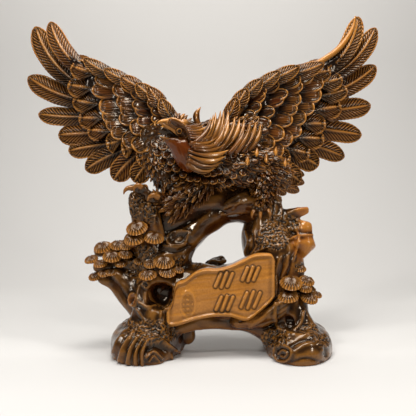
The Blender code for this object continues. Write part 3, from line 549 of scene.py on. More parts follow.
def feather(skin, kind, root, tip, width, facing=FRONT, bow=0.0, twist=0.14, arch=0.0, curl=0.0, warm=0.3,
            gold=None, rubbed=1.0):
    """One carved feather from root to tip. bow bends it sideways, arch lifts its middle and curl its tip."""
    k = KINDS[kind]
    along = unit(tip - root)
    side = unit(np.cross(along, facing))
    front = unit(np.cross(side, along))
    length = np.linalg.norm(tip - root)
    half = 0.5 * width
    if k["pitch"]:
        barbs = max(int(round(length / (k["pitch"] * UNIT))), 4)
        s = np.linspace(0.0, 1.0, barbs * BARB_ROWS + 1)
        s = np.concatenate((s[:-1], [0.25 * s[-2] + 0.75, 0.999]))
    else:
        barbs = 0
        s = 1 - (1 - np.linspace(0.0, 0.999, k["rows"])) ** 1.35
    t = np.linspace(-1.0, 1.0, 2 * k["columns"] + 1)
    v = np.sign(t) * (0.55 * np.abs(t) + 0.45 * (1 - (1 - np.abs(t)) ** 1.8))
    s, v = s[:, None], v[None, :]
    shear = np.minimum(half * BARB_SLOPE / length, (1 - s) * 0.9) if barbs else np.zeros_like(s)
    u = s + shear * np.abs(v)
    past = np.clip((u - k["full"]) / (1 - k["full"]), 0.0, 1.0)
    breadth = (k["root"] + (1 - k["root"]) * ease(u / 0.5)) * np.maximum(1 - past**2, 0.0) ** k["point"]
    if barbs:
        breadth = breadth * (1 + 0.015 * np.cos(math.tau * s * barbs) * ease((np.abs(v) - 0.8) / 0.2))
    centre = (root + u[..., None] * (tip - root) + side * (bow * 4 * u * (1 - u))[..., None]
              + front * (arch * 4 * u * (1 - u) + curl * ease((u - 0.4) / 0.6))[..., None])
    lean = (bow * 4 * (1 - 2 * u) / length)[..., None]
    across = unit(side - lean * along)
    reach = v * half * breadth
    inside = np.minimum((1 - np.abs(v)) * half * breadth, (1 - u) * length * 0.9) / half
    edge_ring = hill(inside - k["ring"], k["ring"])
    edge_dip = hill(inside - 3.2 * k["ring"], k["ring"])
    quill = hill(v, 0.085) * ease((1 - u) * 8)
    quill_dip = hill(np.abs(v) - 0.24, 0.09)
    if barbs:
        wave = np.cos(math.tau * (s * barbs)) * np.ones_like(v)
        calm = ease((np.abs(v) - 0.12) / 0.12) * ease((1 - s) * 14) * ease((inside - 0.02) / 0.13)
    else:
        wave = np.cos(math.tau * k["lines"] * np.abs(v) + 0.8 * np.sin(5 * u + 9 * root[0] / UNIT))
        calm = ease((np.abs(v) - 0.1) / 0.1) * ease(inside / 0.22) * ease((0.97 - u) / 0.2)
    far = ease((u - 0.42) / 0.3)
    height = half * (k["crown"] * (1 - v**2) * (1 - 0.4 * u) + k["quill"] * (quill - 0.6 * quill_dip)
                     + k["relief"] * wave * calm + k["rim"] * (edge_ring - 0.7 * edge_dip) * far)
    face = centre + across * reach[..., None] + front * (height + twist * reach)[..., None]
    base_gold = k["gold"] if gold is None else gold
    shine = (base_gold * (0.3 + 0.9 * u) + 0.7 * min(rubbed + 0.3, 1.0) * quill * (k["quill"] > 0)
             + rubbed * (0.70 * edge_ring + 0.22 * hill(inside, 0.3)) * far
             + (0.55 if barbs else 0.34 * rubbed) * wave * calm * (0.3 + 0.7 * u))
    # Painted shade: each feather darkens towards its root, where the row above covers it; locks get a little,
    # with a warmer root.
    root_shade, root_warmth = (0.15, 0.4) if kind == "lock" else (0.95, 0.0)
    groove = (0.75 * quill_dip * (k["quill"] > 0) + 0.7 * edge_dip * (k["rim"] > 0) * far
              + 0.95 * ease(-1.2 * wave) * calm + root_shade * ease((0.60 - u) / 0.45))
    tones = np.stack((shine, groove, warm + root_warmth * (1 - u)), axis=-1)
    depth = 0.36 * half * (1 - 0.6 * u[:, :1])
    back = []
    for place in (0.97, 0.5, 0.0, -0.5, -0.97):
        column = np.argmin(np.abs(v[0] - place))
        drop = depth * (1.0 + 0.6 * (place == 0))
        back.append(centre[:, column] + across[:, column] * (reach[:, column] * 0.97)[:, None]
                    + front * (twist * reach[:, column:column + 1] - drop))
    rings = np.concatenate((face, np.stack(back, axis=1)), axis=1)
    tones = np.concatenate((tones, np.full((len(s), len(back), 3), (0.25, 0.3, warm))), axis=1)
    skin.add_rings(rings[:, ::-1], tones[:, ::-1])


def add_tube(skin, stations, tone=(0.0, 0.2, 0.3), sides=18, steps=5):
    """A round limb through places (across, down, depth, radius), with rounded ends."""
    shares = np.linspace(0.0, 1.0, (len(stations) - 1) * steps + 1)
    line = smooth_curve(stations, shares)
    centres, radii = seen(*line[:, :3].T), np.maximum(line[:, 3], 0.3) * UNIT
    along = unit(np.gradient(centres, axis=0))
    back, side = crosswise(along)
    ends = np.array(END_RADII)
    offsets = 0.75 * np.sqrt(1 - ends**2)
    before = [(centres[0] - along[0] * radii[0] * offset, radii[0] * end, 0)
              for offset, end in zip(offsets[::-1], ends[::-1])]
    behind = [(centres[-1] + along[-1] * radii[-1] * offset, radii[-1] * end, -1)
              for offset, end in zip(offsets, ends)]
    spots = before + [(c, r, i) for i, (c, r) in enumerate(zip(centres, radii))] + behind
    angles = np.arange(sides) * math.tau / sides
    rings = np.stack([c + r * (np.cos(angles)[:, None] * side[i] + np.sin(angles)[:, None] * back[i])
                      for c, r, i in spots])
    start = centres[0] - along[0] * radii[0] * END_REACH
    end = centres[-1] + along[-1] * radii[-1] * END_REACH
    skin.add_rings(rings, np.broadcast_to(np.array(tone, float), rings.shape).copy(), start, end)


def wing_plate(skin, edges):
    """The slab that carries a wing's feathers, its front painted dark as shade between them, and the rounded
    arm along its leading edge.
    """
    lead, trail = edges
    shares = np.linspace(0.0, 1.0, PLATE_STEPS)
    top, low = smooth_curve(lead, shares), smooth_curve(trail, shares)
    mix = np.linspace(0.0, 1.0, PLATE_LEVELS)[None, :, None]
    places = top[:, None] * (1 - mix) + low[:, None] * mix
    lumps = rough(on_wing(places.transpose(2, 0, 1), 0.0).reshape(-1, 3), 7 * UNIT).reshape(places.shape[:2])
    front = on_wing(places.transpose(2, 0, 1), 1.5 - 5.5 * (1 - mix[..., 0]) - 3.0 * lumps)
    back = on_wing(places.transpose(2, 0, 1), 2.0)[:, ::-1] + np.array((0.0, WING_THICKNESS, 0.0))
    rings = np.concatenate((front, back), axis=1)
    # The plate's front is painted fully dark: painted shade that shows in the gaps between the feathers.
    tones = np.broadcast_to(np.array((0.0, 1.0, 0.4)), rings.shape).copy()
    tones[:, PLATE_LEVELS:] = (0.1, 0.3, 0.4)
    skin.add_rings(rings, tones)
    add_tube(skin, [(p[0], p[1] + 4, wing_depth(p[0]) + 1, r) for p, r in zip(lead, ARM_RADII)],
             tone=(0.3, 0.1, 0.3))


def wing(name, plate, rows, twist, material, bar=()):
    skin = Skin()
    wing_plate(skin, plate)
    if bar:
        add_tube(skin, [(p[0], p[1], wing_depth(p[0]) - 1.0, p[2]) for p in bar], tone=(0.8, 0.0, 0.4))
    chance = random.Random(name)
    for kind, tips, roots, count, width, root_lift, tip_lift, bows in rows:
        for i in range(count):
            share = i / (count - 1)
            tip, root = smooth_curve(tips, share)[0], smooth_curve(roots, share)[0]
            bow = bows[i] if len(bows) > 1 else bows[0] + chance.uniform(-1.0, 1.0)
            if len(bows) == 1:
                tip = tip + np.array((chance.uniform(-JITTER, JITTER), chance.uniform(-JITTER, JITTER)))
            breadth = width * UNIT * chance.uniform(*WIDTHS)
            feather(skin, kind, on_wing(root, root_lift), on_wing(tip, tip_lift), breadth, bow=bow * UNIT,
                    rubbed=chance.uniform(*RUBS),
                    twist=twist * (0.6 if kind in ("primary", "edge") else 1.0),
                    warm=chance.uniform(*WARMTHS), arch=0 if kind == "primary" else 1.0 * UNIT)
    for kind, tips, roots, count, width, *_ in [row for row in rows if row[0] not in ("primary", "edge")]:
        for i in range(count):
            tip, root = smooth_curve(tips, i / (count - 1))[0], smooth_curve(roots, i / (count - 1))[0]
            feather(skin, "back", on_wing(root, BACK_ROOT), on_wing(tip, BACK_TIP),
                    width * BACK_BREADTH * UNIT, facing=-FRONT)
    return skin.object(name, material)


def ring_at(angles, out, up):
    """A ring of points at these angles, this far out and this high."""
    return np.stack((np.cos(angles) * out, np.sin(angles) * out, np.broadcast_to(up, angles.shape)), axis=-1)


def boulder(skin, left, right, top):
    """A rounded rock with a flat underside on the ground."""
    middle = BOULDER_FRONT + 0.5 * BOULDER_DEPTH / UNIT
    corners = seen((left, right), top, middle)
    centre, half_across = corners.mean(axis=0), 0.5 * (corners[1, 0] - corners[0, 0])
    a = np.arange(BOULDER_SIDES) * math.tau / BOULDER_SIDES
    sizes = np.array((half_across, 0.5 * BOULDER_DEPTH, centre[2]))
    rings = np.array([ring_at(a, breadth * (0.955 + 0.03 * np.sin(3 * a + 1.0)), share)
                      for share, breadth in BOULDER_PROFILE]) * sizes + centre * (1, 1, 0)
    skin.add_rings(rings, np.zeros(rings.shape), None, centre)


def raised(points, normals, height):
    """Points moved along their normals by heights in units."""
    return points + normals * (height * UNIT)[:, None]


def joined(forms, voxel, rounds, scoops=None):
    """The one skin around forms that lap into each other, less the scoops."""
    core = forms.object("core", None)
    step = core.modifiers.new("skin", "REMESH")
    step.mode, step.voxel_size = "VOXEL", voxel
    if scoops:
        cutter = scoops.object("scoop", None)
        cut = core.modifiers.new("cut", "BOOLEAN")
        cut.operation, cut.object, cut.solver = "DIFFERENCE", cutter, "EXACT"
        again = core.modifiers.new("again", "REMESH")
        again.mode, again.voxel_size = "VOXEL", voxel
    soften = core.modifiers.new("soften", "SMOOTH")
    soften.factor, soften.iterations = 0.5, rounds
    bpy.context.view_layer.update()
    mesh = bpy.data.meshes.new_from_object(core.evaluated_get(bpy.context.evaluated_depsgraph_get()))
    bpy.data.objects.remove(core)
    if scoops:
        bpy.data.objects.remove(cutter)
    for layer in list(mesh.color_attributes):
        mesh.color_attributes.remove(layer)
    return mesh


def read(mesh):
    """The points, normals and edges of a mesh as arrays."""
    points, normals = np.zeros(len(mesh.vertices) * 3), np.zeros(len(mesh.vertices) * 3)
    mesh.vertices.foreach_get("co", points)
    mesh.vertex_normals.foreach_get("vector", normals)
    edges = np.zeros(len(mesh.edges) * 2, int)
    mesh.edges.foreach_get("vertices", edges)
    return points.reshape(-1, 3), normals.reshape(-1, 3), edges.reshape(-1, 2)


def smoothed(values, edges, rounds):
    """Values at the points of a mesh, each drawn towards its neighbours' mean."""
    a, b = edges.T
    n = len(values)
    degree = np.maximum(np.bincount(a, minlength=n) + np.bincount(b, minlength=n), 1)
    for _ in range(rounds):
        total = np.stack([np.bincount(a, values[b, k], n) + np.bincount(b, values[a, k], n)
                          for k in range(values.shape[1])], axis=1)
        values = 0.4 * values + 0.6 * total / degree[:, None]
    return values


def write(mesh, points):
    """Moves the points of a mesh to these places."""
    mesh.vertices.foreach_set("co", points.astype(np.float32).ravel())
    mesh.update()


def on_sheet(points):
    """Where points show on the front drawing: across, down and depth."""
    depth = points[:, 1] / UNIT - DEPTH_OFFSET
    spread = 1.0 + depth / EYE_DISTANCE
    return np.stack(((points[:, 0] / UNIT - EYE_OFFSET) / spread + SHEET_MIDDLE,
                     SHEET_MIDDLE - (points[:, 2] / UNIT - EYE_LEVEL) / spread, depth), axis=1)


def rough(points, scale):
    """Smooth random values from -1 to 1 over the points, with lumps of this size."""
    return np.array([noise.noise(p) for p in (points / scale).tolist()])


def wrinkles(points, scale):
    """Winding ridges, 1 on their crests and -1 in the hollows between."""
    bent = points + 0.35 * scale * np.stack([rough(points + k, scale * 1.3) for k in (0.0, 7.1, 3.3)], axis=1)
    return 1 - 4 * np.abs(rough(bent, scale))


def drawn(place, facing, lines):
    """How high lines drawn on the front raise each point, in units."""
    total = np.zeros(len(place))
    for points, breadth, height in lines:
        line = np.array(points, float)
        if len(points) > 1:
            line = smooth_curve(points, np.linspace(0, 1, 8 * len(points)))
        reach = 3 * breadth
        low, high = line.min(axis=0) - reach, line.max(axis=0) + reach
        near = np.where(np.all((place[:, :2] > low) & (place[:, :2] < high), axis=1) & (facing > 0))[0]
        if len(near):
            apart = np.min(np.linalg.norm(place[near, None, :2] - line[None], axis=2), axis=1)
            total[near] += height * hill(apart, breadth)
    return total * ease(facing / 0.5)


def patched(place, patches):
    """How much of a patch covers each place, from 0 to 1."""
    total = np.zeros(len(place))
    for across, down, half_across, half_down in patches:
        apart = np.hypot((place[:, 0] - across) / half_across, (place[:, 1] - down) / half_down)
        total = np.maximum(total, ease((1.25 - apart) / 0.4))
    return total


def mossy(points, normals):
    """How much moss covers each point: it grows on the front."""
    return patched(on_sheet(points), MOSS) * ease((0.25 - normals[:, 1]) / 0.5)


class Flow:
    """Which way the grain runs: each limb's line, so that furrows can follow it."""

    def __init__(self, limbs):
        self.centre, self.radius, self.side, self.back, self.run, self.limb = [], [], [], [], [], []
        for n, stations in enumerate(limbs):
            line = smooth_curve(stations, np.linspace(0, 1, FLOW_STEPS * len(stations)))
            centres = seen(*line[:, :3].T)
            back, side = crosswise(unit(np.gradient(centres, axis=0)))
            lengths = np.concatenate(([0.0], np.cumsum(np.linalg.norm(np.diff(centres, axis=0), axis=1))))
            for store, value in ((self.centre, centres), (self.radius, line[:, 3] * UNIT), (self.back, back),
                                 (self.side, side), (self.run, lengths),
                                 (self.limb, np.full(len(line), n))):
                store.append(value)
        for key in ("centre", "radius", "side", "back", "run", "limb"):
            setattr(self, key, np.concatenate(getattr(self, key)))

    def furrows(self, points, around, along):
        """Long smooth furrows that run with the nearest limb: values from -1 to 1, faded where limbs meet."""
        values, fade = np.zeros((len(points), 3)), np.zeros(len(points))
        for first in range(0, len(points), BATCH):
            here = points[first:first + BATCH]
            gap = np.linalg.norm(here[:, None] - self.centre[None], axis=2) / self.radius[None]
            best = np.argmin(gap, axis=1)
            other = np.where(self.limb[None] == self.limb[best][:, None], np.inf, gap).min(axis=1)
            away = here - self.centre[best]
            angle = np.arctan2(np.sum(away * self.back[best], axis=1), np.sum(away * self.side[best], axis=1))
            run = self.run[best]
            angle = angle + FURROW_TWIST * run / UNIT
            values[first:first + BATCH] = np.stack((np.cos(angle) * around, np.sin(angle) * around,
                                                   run / (along * UNIT) + 5.0 * self.limb[best]), axis=1)
            fade[first:first + BATCH] = ease((other - gap[np.arange(len(here)), best]) / 0.25)
        return rough(values, 1.0) * 1.6 * (0.35 + 0.65 * fade)


def worked(name, mesh, points, edges, material, warm, gold, rub=1.0, shade=0.0):
    """Writes the carved points back, and rubs gold on the ridges and glaze into the hollows."""
    points = inside_box(points)
    write(mesh, points)
    normals = read(mesh)[1]
    near = smoothed(points, edges, NEAR_ROUNDS)
    wide = smoothed(near, edges, WIDE_ROUNDS)
    fine = np.sum((points - near) * normals, axis=1) / (FINE_STEP * UNIT)
    broad = np.sum((near - wide) * normals, axis=1) / (BROAD_STEP * UNIT)
    lift = 0.6 * fine + 0.7 * broad
    dark = np.clip(-0.85 * lift - 0.05, 0, 1)
    # The second tone is the greater of the glaze in the hollows and the shade passed in; some pieces pass
    # painted shade.
    tones = np.stack((gold + rub * np.clip(lift - 0.12, 0, 1.1), np.maximum(dark, shade), warm), axis=1)
    set_tones(mesh, smoothed(tones, edges, 1))
    mesh.shade_smooth()
    mesh.materials.clear()
    mesh.materials.append(material)
    return placed(name, mesh)


def refined(mesh, fine):
    """Splits the faces between points that need finer carving."""
    form = bmesh.new()
    form.from_mesh(mesh)
    edges = [edge for edge in form.edges if fine[edge.verts[0].index] and fine[edge.verts[1].index]]
    bmesh.ops.subdivide_edges(form, edges=edges, cuts=1, use_grid_fill=True)
    bmesh.ops.triangulate(form, faces=[face for face in form.faces if len(face.verts) > 4])
    form.to_mesh(mesh)
    form.free()
    mesh.update()


def wood(name, limbs, voxel, material, boulders=(), scoops=(), blocks=()):
    """Part of the tree: its limbs in one skin, carved with furrows, drawn lines and moss."""
    forms, holes = Skin(), Skin()
    for stations in limbs:
        add_tube(forms, stations)
    for stations in blocks:
        add_tube(forms, stations, sides=5, steps=2)
    for rock in boulders:
        boulder(forms, *rock)
    for stations in scoops:
        add_tube(holes, stations)
    mesh = joined(forms, voxel, 6, holes if scoops else None)
    points, normals, edges = read(mesh)
    flow = Flow(limbs)
    moss = mossy(points, normals)
    furrow = flow.furrows(points, 1.5, 26.0)
    strands = flow.furrows(points, 4.5, 40.0)
    lump = rough(points, 13 * UNIT)
    calm = ease((rough(points + 3.0, 30 * UNIT) + 0.35) / 0.6)
    height = LUMP_HEIGHT * lump + FURROW_HEIGHT * furrow + STRAND_HEIGHT * strands * calm
    if boulders:
        rock = ease((34 - points[:, 2] / UNIT) / 8) * ease((points[:, 1] / UNIT * -1 + 60) / 10)
        height = height * (1 - 0.6 * rock) + 0.8 * rock * np.clip(wrinkles(points, 24 * UNIT), -1, 1)
    points = raised(points, normals, height * (1 - 0.6 * moss))
    write(mesh, points)
    normals = read(mesh)[1]
    refined(mesh, (moss > 0.2) | (np.abs(drawn(on_sheet(points), -normals[:, 1], WOOD_LINES)) > 0.12))
    points, normals, edges = read(mesh)
    place = on_sheet(points)
    carved = drawn(place, -normals[:, 1], WOOD_LINES)
    moss = mossy(points, normals)
    curls = wrinkles(points, 2.8 * UNIT)
    height = carved + moss * (0.7 * np.clip(curls, -1, 1) + 0.3)
    points = raised(points, normals, height)
    if boulders:
        points[:, 2] = np.maximum(points[:, 2], 0.0)
    # Warmer where the wood faces down: a painted reflection of warm light from below, over a random warm
    # tone.
    warm = np.clip(0.15 + 0.35 * rough(points, 22 * UNIT) - 0.55 * normals[:, 2], 0, 1)
    gold = np.clip(0.04 + 0.30 * moss * np.clip(curls, 0, 1), 0, 1)
    cut = patched(place, CUT_WOOD) * (1 - moss)
    warm = np.maximum(warm, 0.95 * cut)
    gold = gold + 0.22 * cut
    shade = (ROOT_SHADE if boulders else TRUNK_SHADE) * (1 - cut)
    shade = np.maximum(moss * np.clip(0.9 - 1.1 * curls, 0, 0.95), shade)
    # Painted shade inside the hollows, darkest towards their bottoms.
    for stations in scoops:
        bottom, radius = seen(*stations[-1][:3]), stations[-1][3] * UNIT
        shade = np.maximum(shade, 0.6 * ease(1.6 - np.linalg.norm(points - bottom, axis=1) / radius))
    return worked(name, mesh, points, edges, material, warm * (1 - 0.8 * moss), gold * (1 - 0.5 * shade),
                  WOOD_RUB, shade)


def cushion(skin, across, down, depth, radius, lean, roll):
    """A cushion of pine needles: a fluted dome over a rim, leaning to the viewer."""
    centre = seen(across, down, depth)
    turn = np.array(Matrix.Rotation(math.radians(roll), 3, "Y") @ Matrix.Rotation(math.radians(lean), 3, "X"))
    size = radius * UNIT
    a = np.arange(CUSHION_SIDES) * math.tau / CUSHION_SIDES
    flute = np.cos(int(11 + radius * 0.9) * a)
    rings, tones = [], []
    for r in np.concatenate((np.linspace(0.08, 0.9, 9), (0.96, 1.0, 1.02, 0.98))):
        wave = flute * ease(r / 0.5) * 0.11
        out = min(r, 1.0) * (1 + 0.03 * flute * ease(r / 0.9))
        up = CUSHION_DOME * max(1 - min(r, 1.0) ** 2.2, 0.0) ** 0.7 + wave * (r < 1.0)
        rings.append(ring_at(a, out, up))
        rim = ease((r - 0.72) / 0.2)
        gold = 0.03 + 0.45 * rim + 0.60 * ease(flute) * r
        groove = 0.95 * ease(-flute) * ease(r / 0.4) * (1 - 0.45 * rim)
        tones.append(np.stack((gold, groove, np.full(CUSHION_SIDES, 0.1)), axis=-1))
    # The underside is painted warm: a painted reflection of warm light from below.
    for r, low in ((0.97, 0.07), (0.80, 0.16), (0.45, 0.36), (0.2, CUSHION_UNDER)):
        rings.append(ring_at(a, r * (1 + 0.03 * flute), -low))
        tones.append(np.full((CUSHION_SIDES, 3), (0.1, 0.2, 0.9)))
    rings = centre + size * (np.array(rings) @ turn.T)
    tip = centre + size * (turn @ np.array((0, 0, CUSHION_DOME)))
    low = centre + size * (turn @ np.array((0, 0, -CUSHION_UNDER)))
    skin.add_rings(rings, np.array(tones), tip, low)


def needle_cushions(material):
    skin = Skin()
    for place in CUSHIONS:
        cushion(skin, *place)
    return skin.object("needle_cushions", material)


def board(material):
    """The board that leans on the tree, with rows of plain slanting strokes and an oval frame."""
    shares = np.linspace(0, 1, 400)
    top, low = smooth_curve(PLAQUE_TOP, shares), smooth_curve(PLAQUE_LOW, shares)
    columns = np.linspace(*PLAQUE_COLUMNS)
    high_line = np.interp(columns, top[:, 0], top[:, 1])
    low_line = np.interp(columns, low[:, 0], low[:, 1])
    share = np.concatenate(([0.0, 0.006, 0.02], np.linspace(0.04, 0.96, 84), [0.98, 0.994, 1.0]))
    down = high_line[:, None] + (low_line - high_line)[:, None] * share[None]
    across = np.repeat(columns[:, None], len(share), axis=1)
    tilt = (across - PLAQUE_LEFT) / (PLAQUE_RIGHT - PLAQUE_LEFT)
    depth = PLAQUE_LEFT_DEPTH + (PLAQUE_RIGHT_DEPTH - PLAQUE_LEFT_DEPTH) * tilt
    to_edge = np.minimum(np.minimum(down - high_line[:, None], low_line[:, None] - down),
                         np.minimum(across - PLAQUE_ENDS[0], PLAQUE_ENDS[1] - across))
    lift = 1.0 * hill(to_edge - 2.2, 1.4) - 5.0 * (1 - ease(to_edge / 2.0)) - 0.7 * hill(to_edge - 5.0, 1.6)
    flat = np.zeros(down.shape)
    grain = rough(np.stack((across / 26, (down + 0.12 * across) / 2.6, flat), -1).reshape(-1, 3), 1.0)
    swell = rough(np.stack((across / 30, down / 17, flat + 4), -1).reshape(-1, 3), 1.0)
    grain, swell = grain.reshape(down.shape), swell.reshape(down.shape)
    lift = lift + 0.22 * grain + 1.3 * swell
    lift = lift - END_CURL * ease((END_CURL_START - across) / END_CURL_REACH) ** 1.3
    marks, rims = np.zeros(down.shape), np.zeros(down.shape)
    for middle_across, middle_down, half in STROKE_GROUPS:
        for step in STROKE_STEPS:
            tall = half * (1 - 0.2 * abs(step))
            high, foot = [np.array((middle_across + (step + lean) * half, middle_down - up * tall))
                          for up, lean in ((0.8, STROKE_LEAN), (-0.8, -STROKE_LEAN))]
            along = foot - high
            at = ((across - high[0]) * along[0] + (down - high[1]) * along[1]) / (along @ along)
            at = np.clip(at, 0, 1)
            apart = np.hypot(across - high[0] - at * along[0], down - high[1] - at * along[1])
            marks = np.maximum(marks, ease((STROKE_BREADTH * 1.35 - apart) / 0.9))
            rims = np.maximum(rims, hill(apart - STROKE_BREADTH * 1.7, 0.8))
    seal_across, seal_down, seal_half, seal_tall = SEAL
    round_gap = np.hypot((across - seal_across) / seal_half, (down - seal_down) / seal_tall)
    frame_line = hill((round_gap - 0.95) * seal_half, 0.8)
    level = np.cos((down - seal_down) * math.tau / 4.6) > 0.25
    upright = np.cos((across - seal_across) * math.tau / 5.2) > -0.3
    seal = np.maximum(frame_line, 0.8 * (level & upright) * ease((0.72 - round_gap) / 0.12))
    lift = lift + 1.3 * marks - 0.5 * rims * (1 - marks) + 0.7 * seal
    front = seen(across, down, depth - lift)
    behind = seen(across, down, depth) + np.array((0, PLAQUE_THICKNESS, 0))
    thin = np.linspace(0, len(share) - 1, 8).astype(int)[::-1]
    rings = np.concatenate((front, behind[:, thin]), axis=1)
    gold = PLAQUE_GOLD + 0.27 * grain + 0.5 * marks + 0.25 * hill(to_edge - 2.0, 1.5) + 0.2 * seal
    # The dark ring round each stroke is glaze in its groove and painted shadow of the raised stroke.
    dark = (0.9 * rims * (1 - marks) + 0.35 * hill(to_edge - 5, 2)
            + 0.35 * ease((0.8 - round_gap) / 0.1) * (1 - seal))
    tone = np.stack((gold, dark, np.full(down.shape, 0.6)), axis=-1)
    back_tone = np.broadcast_to(np.array((0.1, 0.3, 0.5)), (len(columns), len(thin), 3))
    skin = Skin()
    skin.add_rings(rings, np.concatenate((tone, back_tone), axis=1))
    return skin.object("board", material)


def bird(material):
    """The body, thighs, shanks and toes in one skin, roughened like short plumage."""
    forms = Skin()
    for stations in (TORSO, SHOULDERS, BREAST, LEFT_THIGH, LEFT_SHANK, RIGHT_THIGH, *TOES):
        add_tube(forms, stations)
    mesh = joined(forms, BODY_DETAIL, 3)
    points, normals, edges = read(mesh)
    shaggy = wrinkles(points, 4.5 * UNIT)
    height = 0.8 * rough(points, 9 * UNIT) + 0.7 * np.clip(shaggy, -1, 1)
    points = raised(points, normals, height)
    warm = np.clip(0.2 + 0.5 * rough(points, 12 * UNIT), 0, 1)
    gold = np.full(len(points), 0.03)
    # The body under the small feathers is painted dark: painted shade between and beneath them.
    return worked("body", mesh, points, edges, material, warm, gold, rub=0.3, shade=0.85)


def head(material):
    """The head, open beak, brow and smooth throat."""
    forms = Skin()
    for stations in (NECK, THROAT, HEAD, UPPER_BEAK, LOWER_BEAK, BROW, TONGUE, SHADED_MOUTH_FILL):
        add_tube(forms, stations)
    add_tube(forms, (EYE, (EYE[0] + 0.4, EYE[1], EYE[2] + 1.0, EYE[3])), steps=1)
    mesh = joined(forms, HEAD_DETAIL, 2)
    refined(mesh, np.all(on_sheet(read(mesh)[0]) < FACE_BOX, axis=1))
    points, normals, edges = read(mesh)
    place = on_sheet(points)
    across, down, depth = place.T
    ring = np.hypot(across - EYE[0], down - EYE[1])
    facing = ease(-normals[:, 1] / 0.3)
    height = drawn(place, -normals[:, 1], HEAD_LINES)
    height = height + facing * (0.7 * hill(ring - 2.3, 0.5) - 0.6 * hill(ring - 3.4, 0.5))
    throat = ease((down - 138) / 5) * ease((204 - across) / 12)
    strands = np.stack((across - 0.45 * down, 0.12 * down, 0.3 * depth), axis=1)
    height = height + 0.35 * rough(points, 7 * UNIT) + 0.4 * throat * rough(strands, 1.7)
    points = raised(points, normals, height)
    beak = ease((171 - across) / 6) * ease((139 - down) / 3)
    crown = ease((131 - down) / 5) * ease((193 - across) / 4)
    warm = np.clip(0.25 + 0.45 * throat, 0, 1)
    # The crown's gold is its own colour, brighter where it faces up: a painted highlight from light above.
    gold = np.clip(0.04 + 0.40 * beak + 0.7 * crown * ease(normals[:, 2] / 0.7) - 0.05 * throat, 0, 1)
    roof = np.interp(across, *MOUTH_ROOF)
    # Painted shade in the open mouth, below the edge of the upper beak.
    dark = (ease((down - roof) / 0.6) * ease((138.0 - down) / 0.6)
            * ease((180 - across) / 2) * ease((depth + 60) / 2))
    dark = np.maximum(dark, facing * np.maximum(ease((1.7 - ring) / 0.4), 0.9 * hill(ring - 3.4, 0.5)))
    gold = np.maximum(gold, 0.9 * facing * hill(ring - 2.4, 0.5))
    # A painted sheen: a light band along the side of the upper beak, above the mouth.
    painted_beak_sheen = hill(down - roof + 2.4, 1.5) * ease((178 - across) / 3) * facing
    gold = np.maximum(gold, 0.6 * painted_beak_sheen)
    # Painted shade on the head behind the eye, in the gaps among the locks.
    nape = ease((across - 185) / 4) * ease((148 - down) / 6)
    dark = np.maximum(dark, 0.85 * nape)
    rub = 0.55 * (1 - 0.85 * throat)
    return worked("head", mesh, points, edges, material, warm, gold, rub, dark)


# Tufts tiled over a limb: the limb, shares of its length, angles from the side that faces the viewer, width,
# length, which way they lie along the limb, how they swirl, and the kind.
TILED = (
    (TORSO, (0.10, 0.95), 15, (-175, 170), 22, 7.0, 8.5, 1, 0.25, "scale"),
    (SHOULDERS, (0.12, 0.92), 13, (-175, 170), 20, 7.0, 8.5, 1, 0.3, "scale"),
    (BREAST, (0.0, 0.95), 9, (-150, 150), 13, 6.5, 7.5, 1, 0.1, "scale"),
    (NECK, (0.06, 0.30), 5, (-175, 175), 17, 6.5, 8.5, -1, 0.1, "scale"),
    (LEFT_THIGH, (0.12, 0.95), 11, (-170, 170), 15, 5.0, 11, 1, 0.2, "tuft"),
    (RIGHT_THIGH, (0.10, 0.85), 11, (-170, 170), 15, 4.5, 6.5, 1, 0.2, "scale"),
    (LEFT_SHANK, (0.05, 0.7), 6, (-170, 170), 9, 3.6, 6, 1, 0.0, "tuft"),
)
# Long locks of the neck: how many, the curves of their roots and tips (across, down, depth), width and bow.
LOCKS = (
    (4, ((178, 122, -56), (182, 124, -54), (187, 128, -50)),
     ((181, 115, -48), (186.5, 116, -45), (193, 119, -40)), 4.2, -1.5),
    (6, ((184, 127, -57), (187, 132, -58), (189, 138, -59)),
     ((200, 122, -42), (207, 129, -42), (212, 136, -44)), 5.0, 2.5),
    (1, ((199, 126, -44), (199.5, 126, -44)), ((201, 107.5, -38), (201, 107.5, -38)), 6.5, -3.5),
    (6, ((194, 143, -58), (202, 148, -51), (212, 150, -41)),
     ((210, 118, -38), (217, 112, -28), (229, 110, -14)), 5.8, 4.0),
    (5, ((207, 152, -50), (217, 152, -42), (228, 150, -30)),
     ((224, 124, -32), (234, 118, -20), (244, 119, -10)), 5.8, 4.0),
    (4, ((228, 154, -40), (238, 153, -34), (248, 150, -26)),
     ((244, 128, -24), (252, 122, -18), (260, 124, -12)), 5.5, 3.0),
    (3, ((190, 143, -60), (193, 149, -59)), ((217, 137, -40), (224, 145, -40)), 6.0, 4.0),
    (4, ((188, 151, -62), (188, 157, -62), (187, 163, -60)),
     ((229, 151, -44), (223, 159, -46), (214, 167, -48)), 6.0, 5.0),
)
LOCK_DRIFT = 1.2
LOCK_GOLDS = (0.3, 0.5, 0.75)
TUFT_GOLDS, TUFT_RUBS = (0.02, 0.02, 0.06, 0.2), (0.1, 0.25, 0.7)
BODY_SEED, MANTLE_SEED = 7, 8
# The share of a limb's radius within which a tuft's root would be out of sight.
BURIED = 0.86
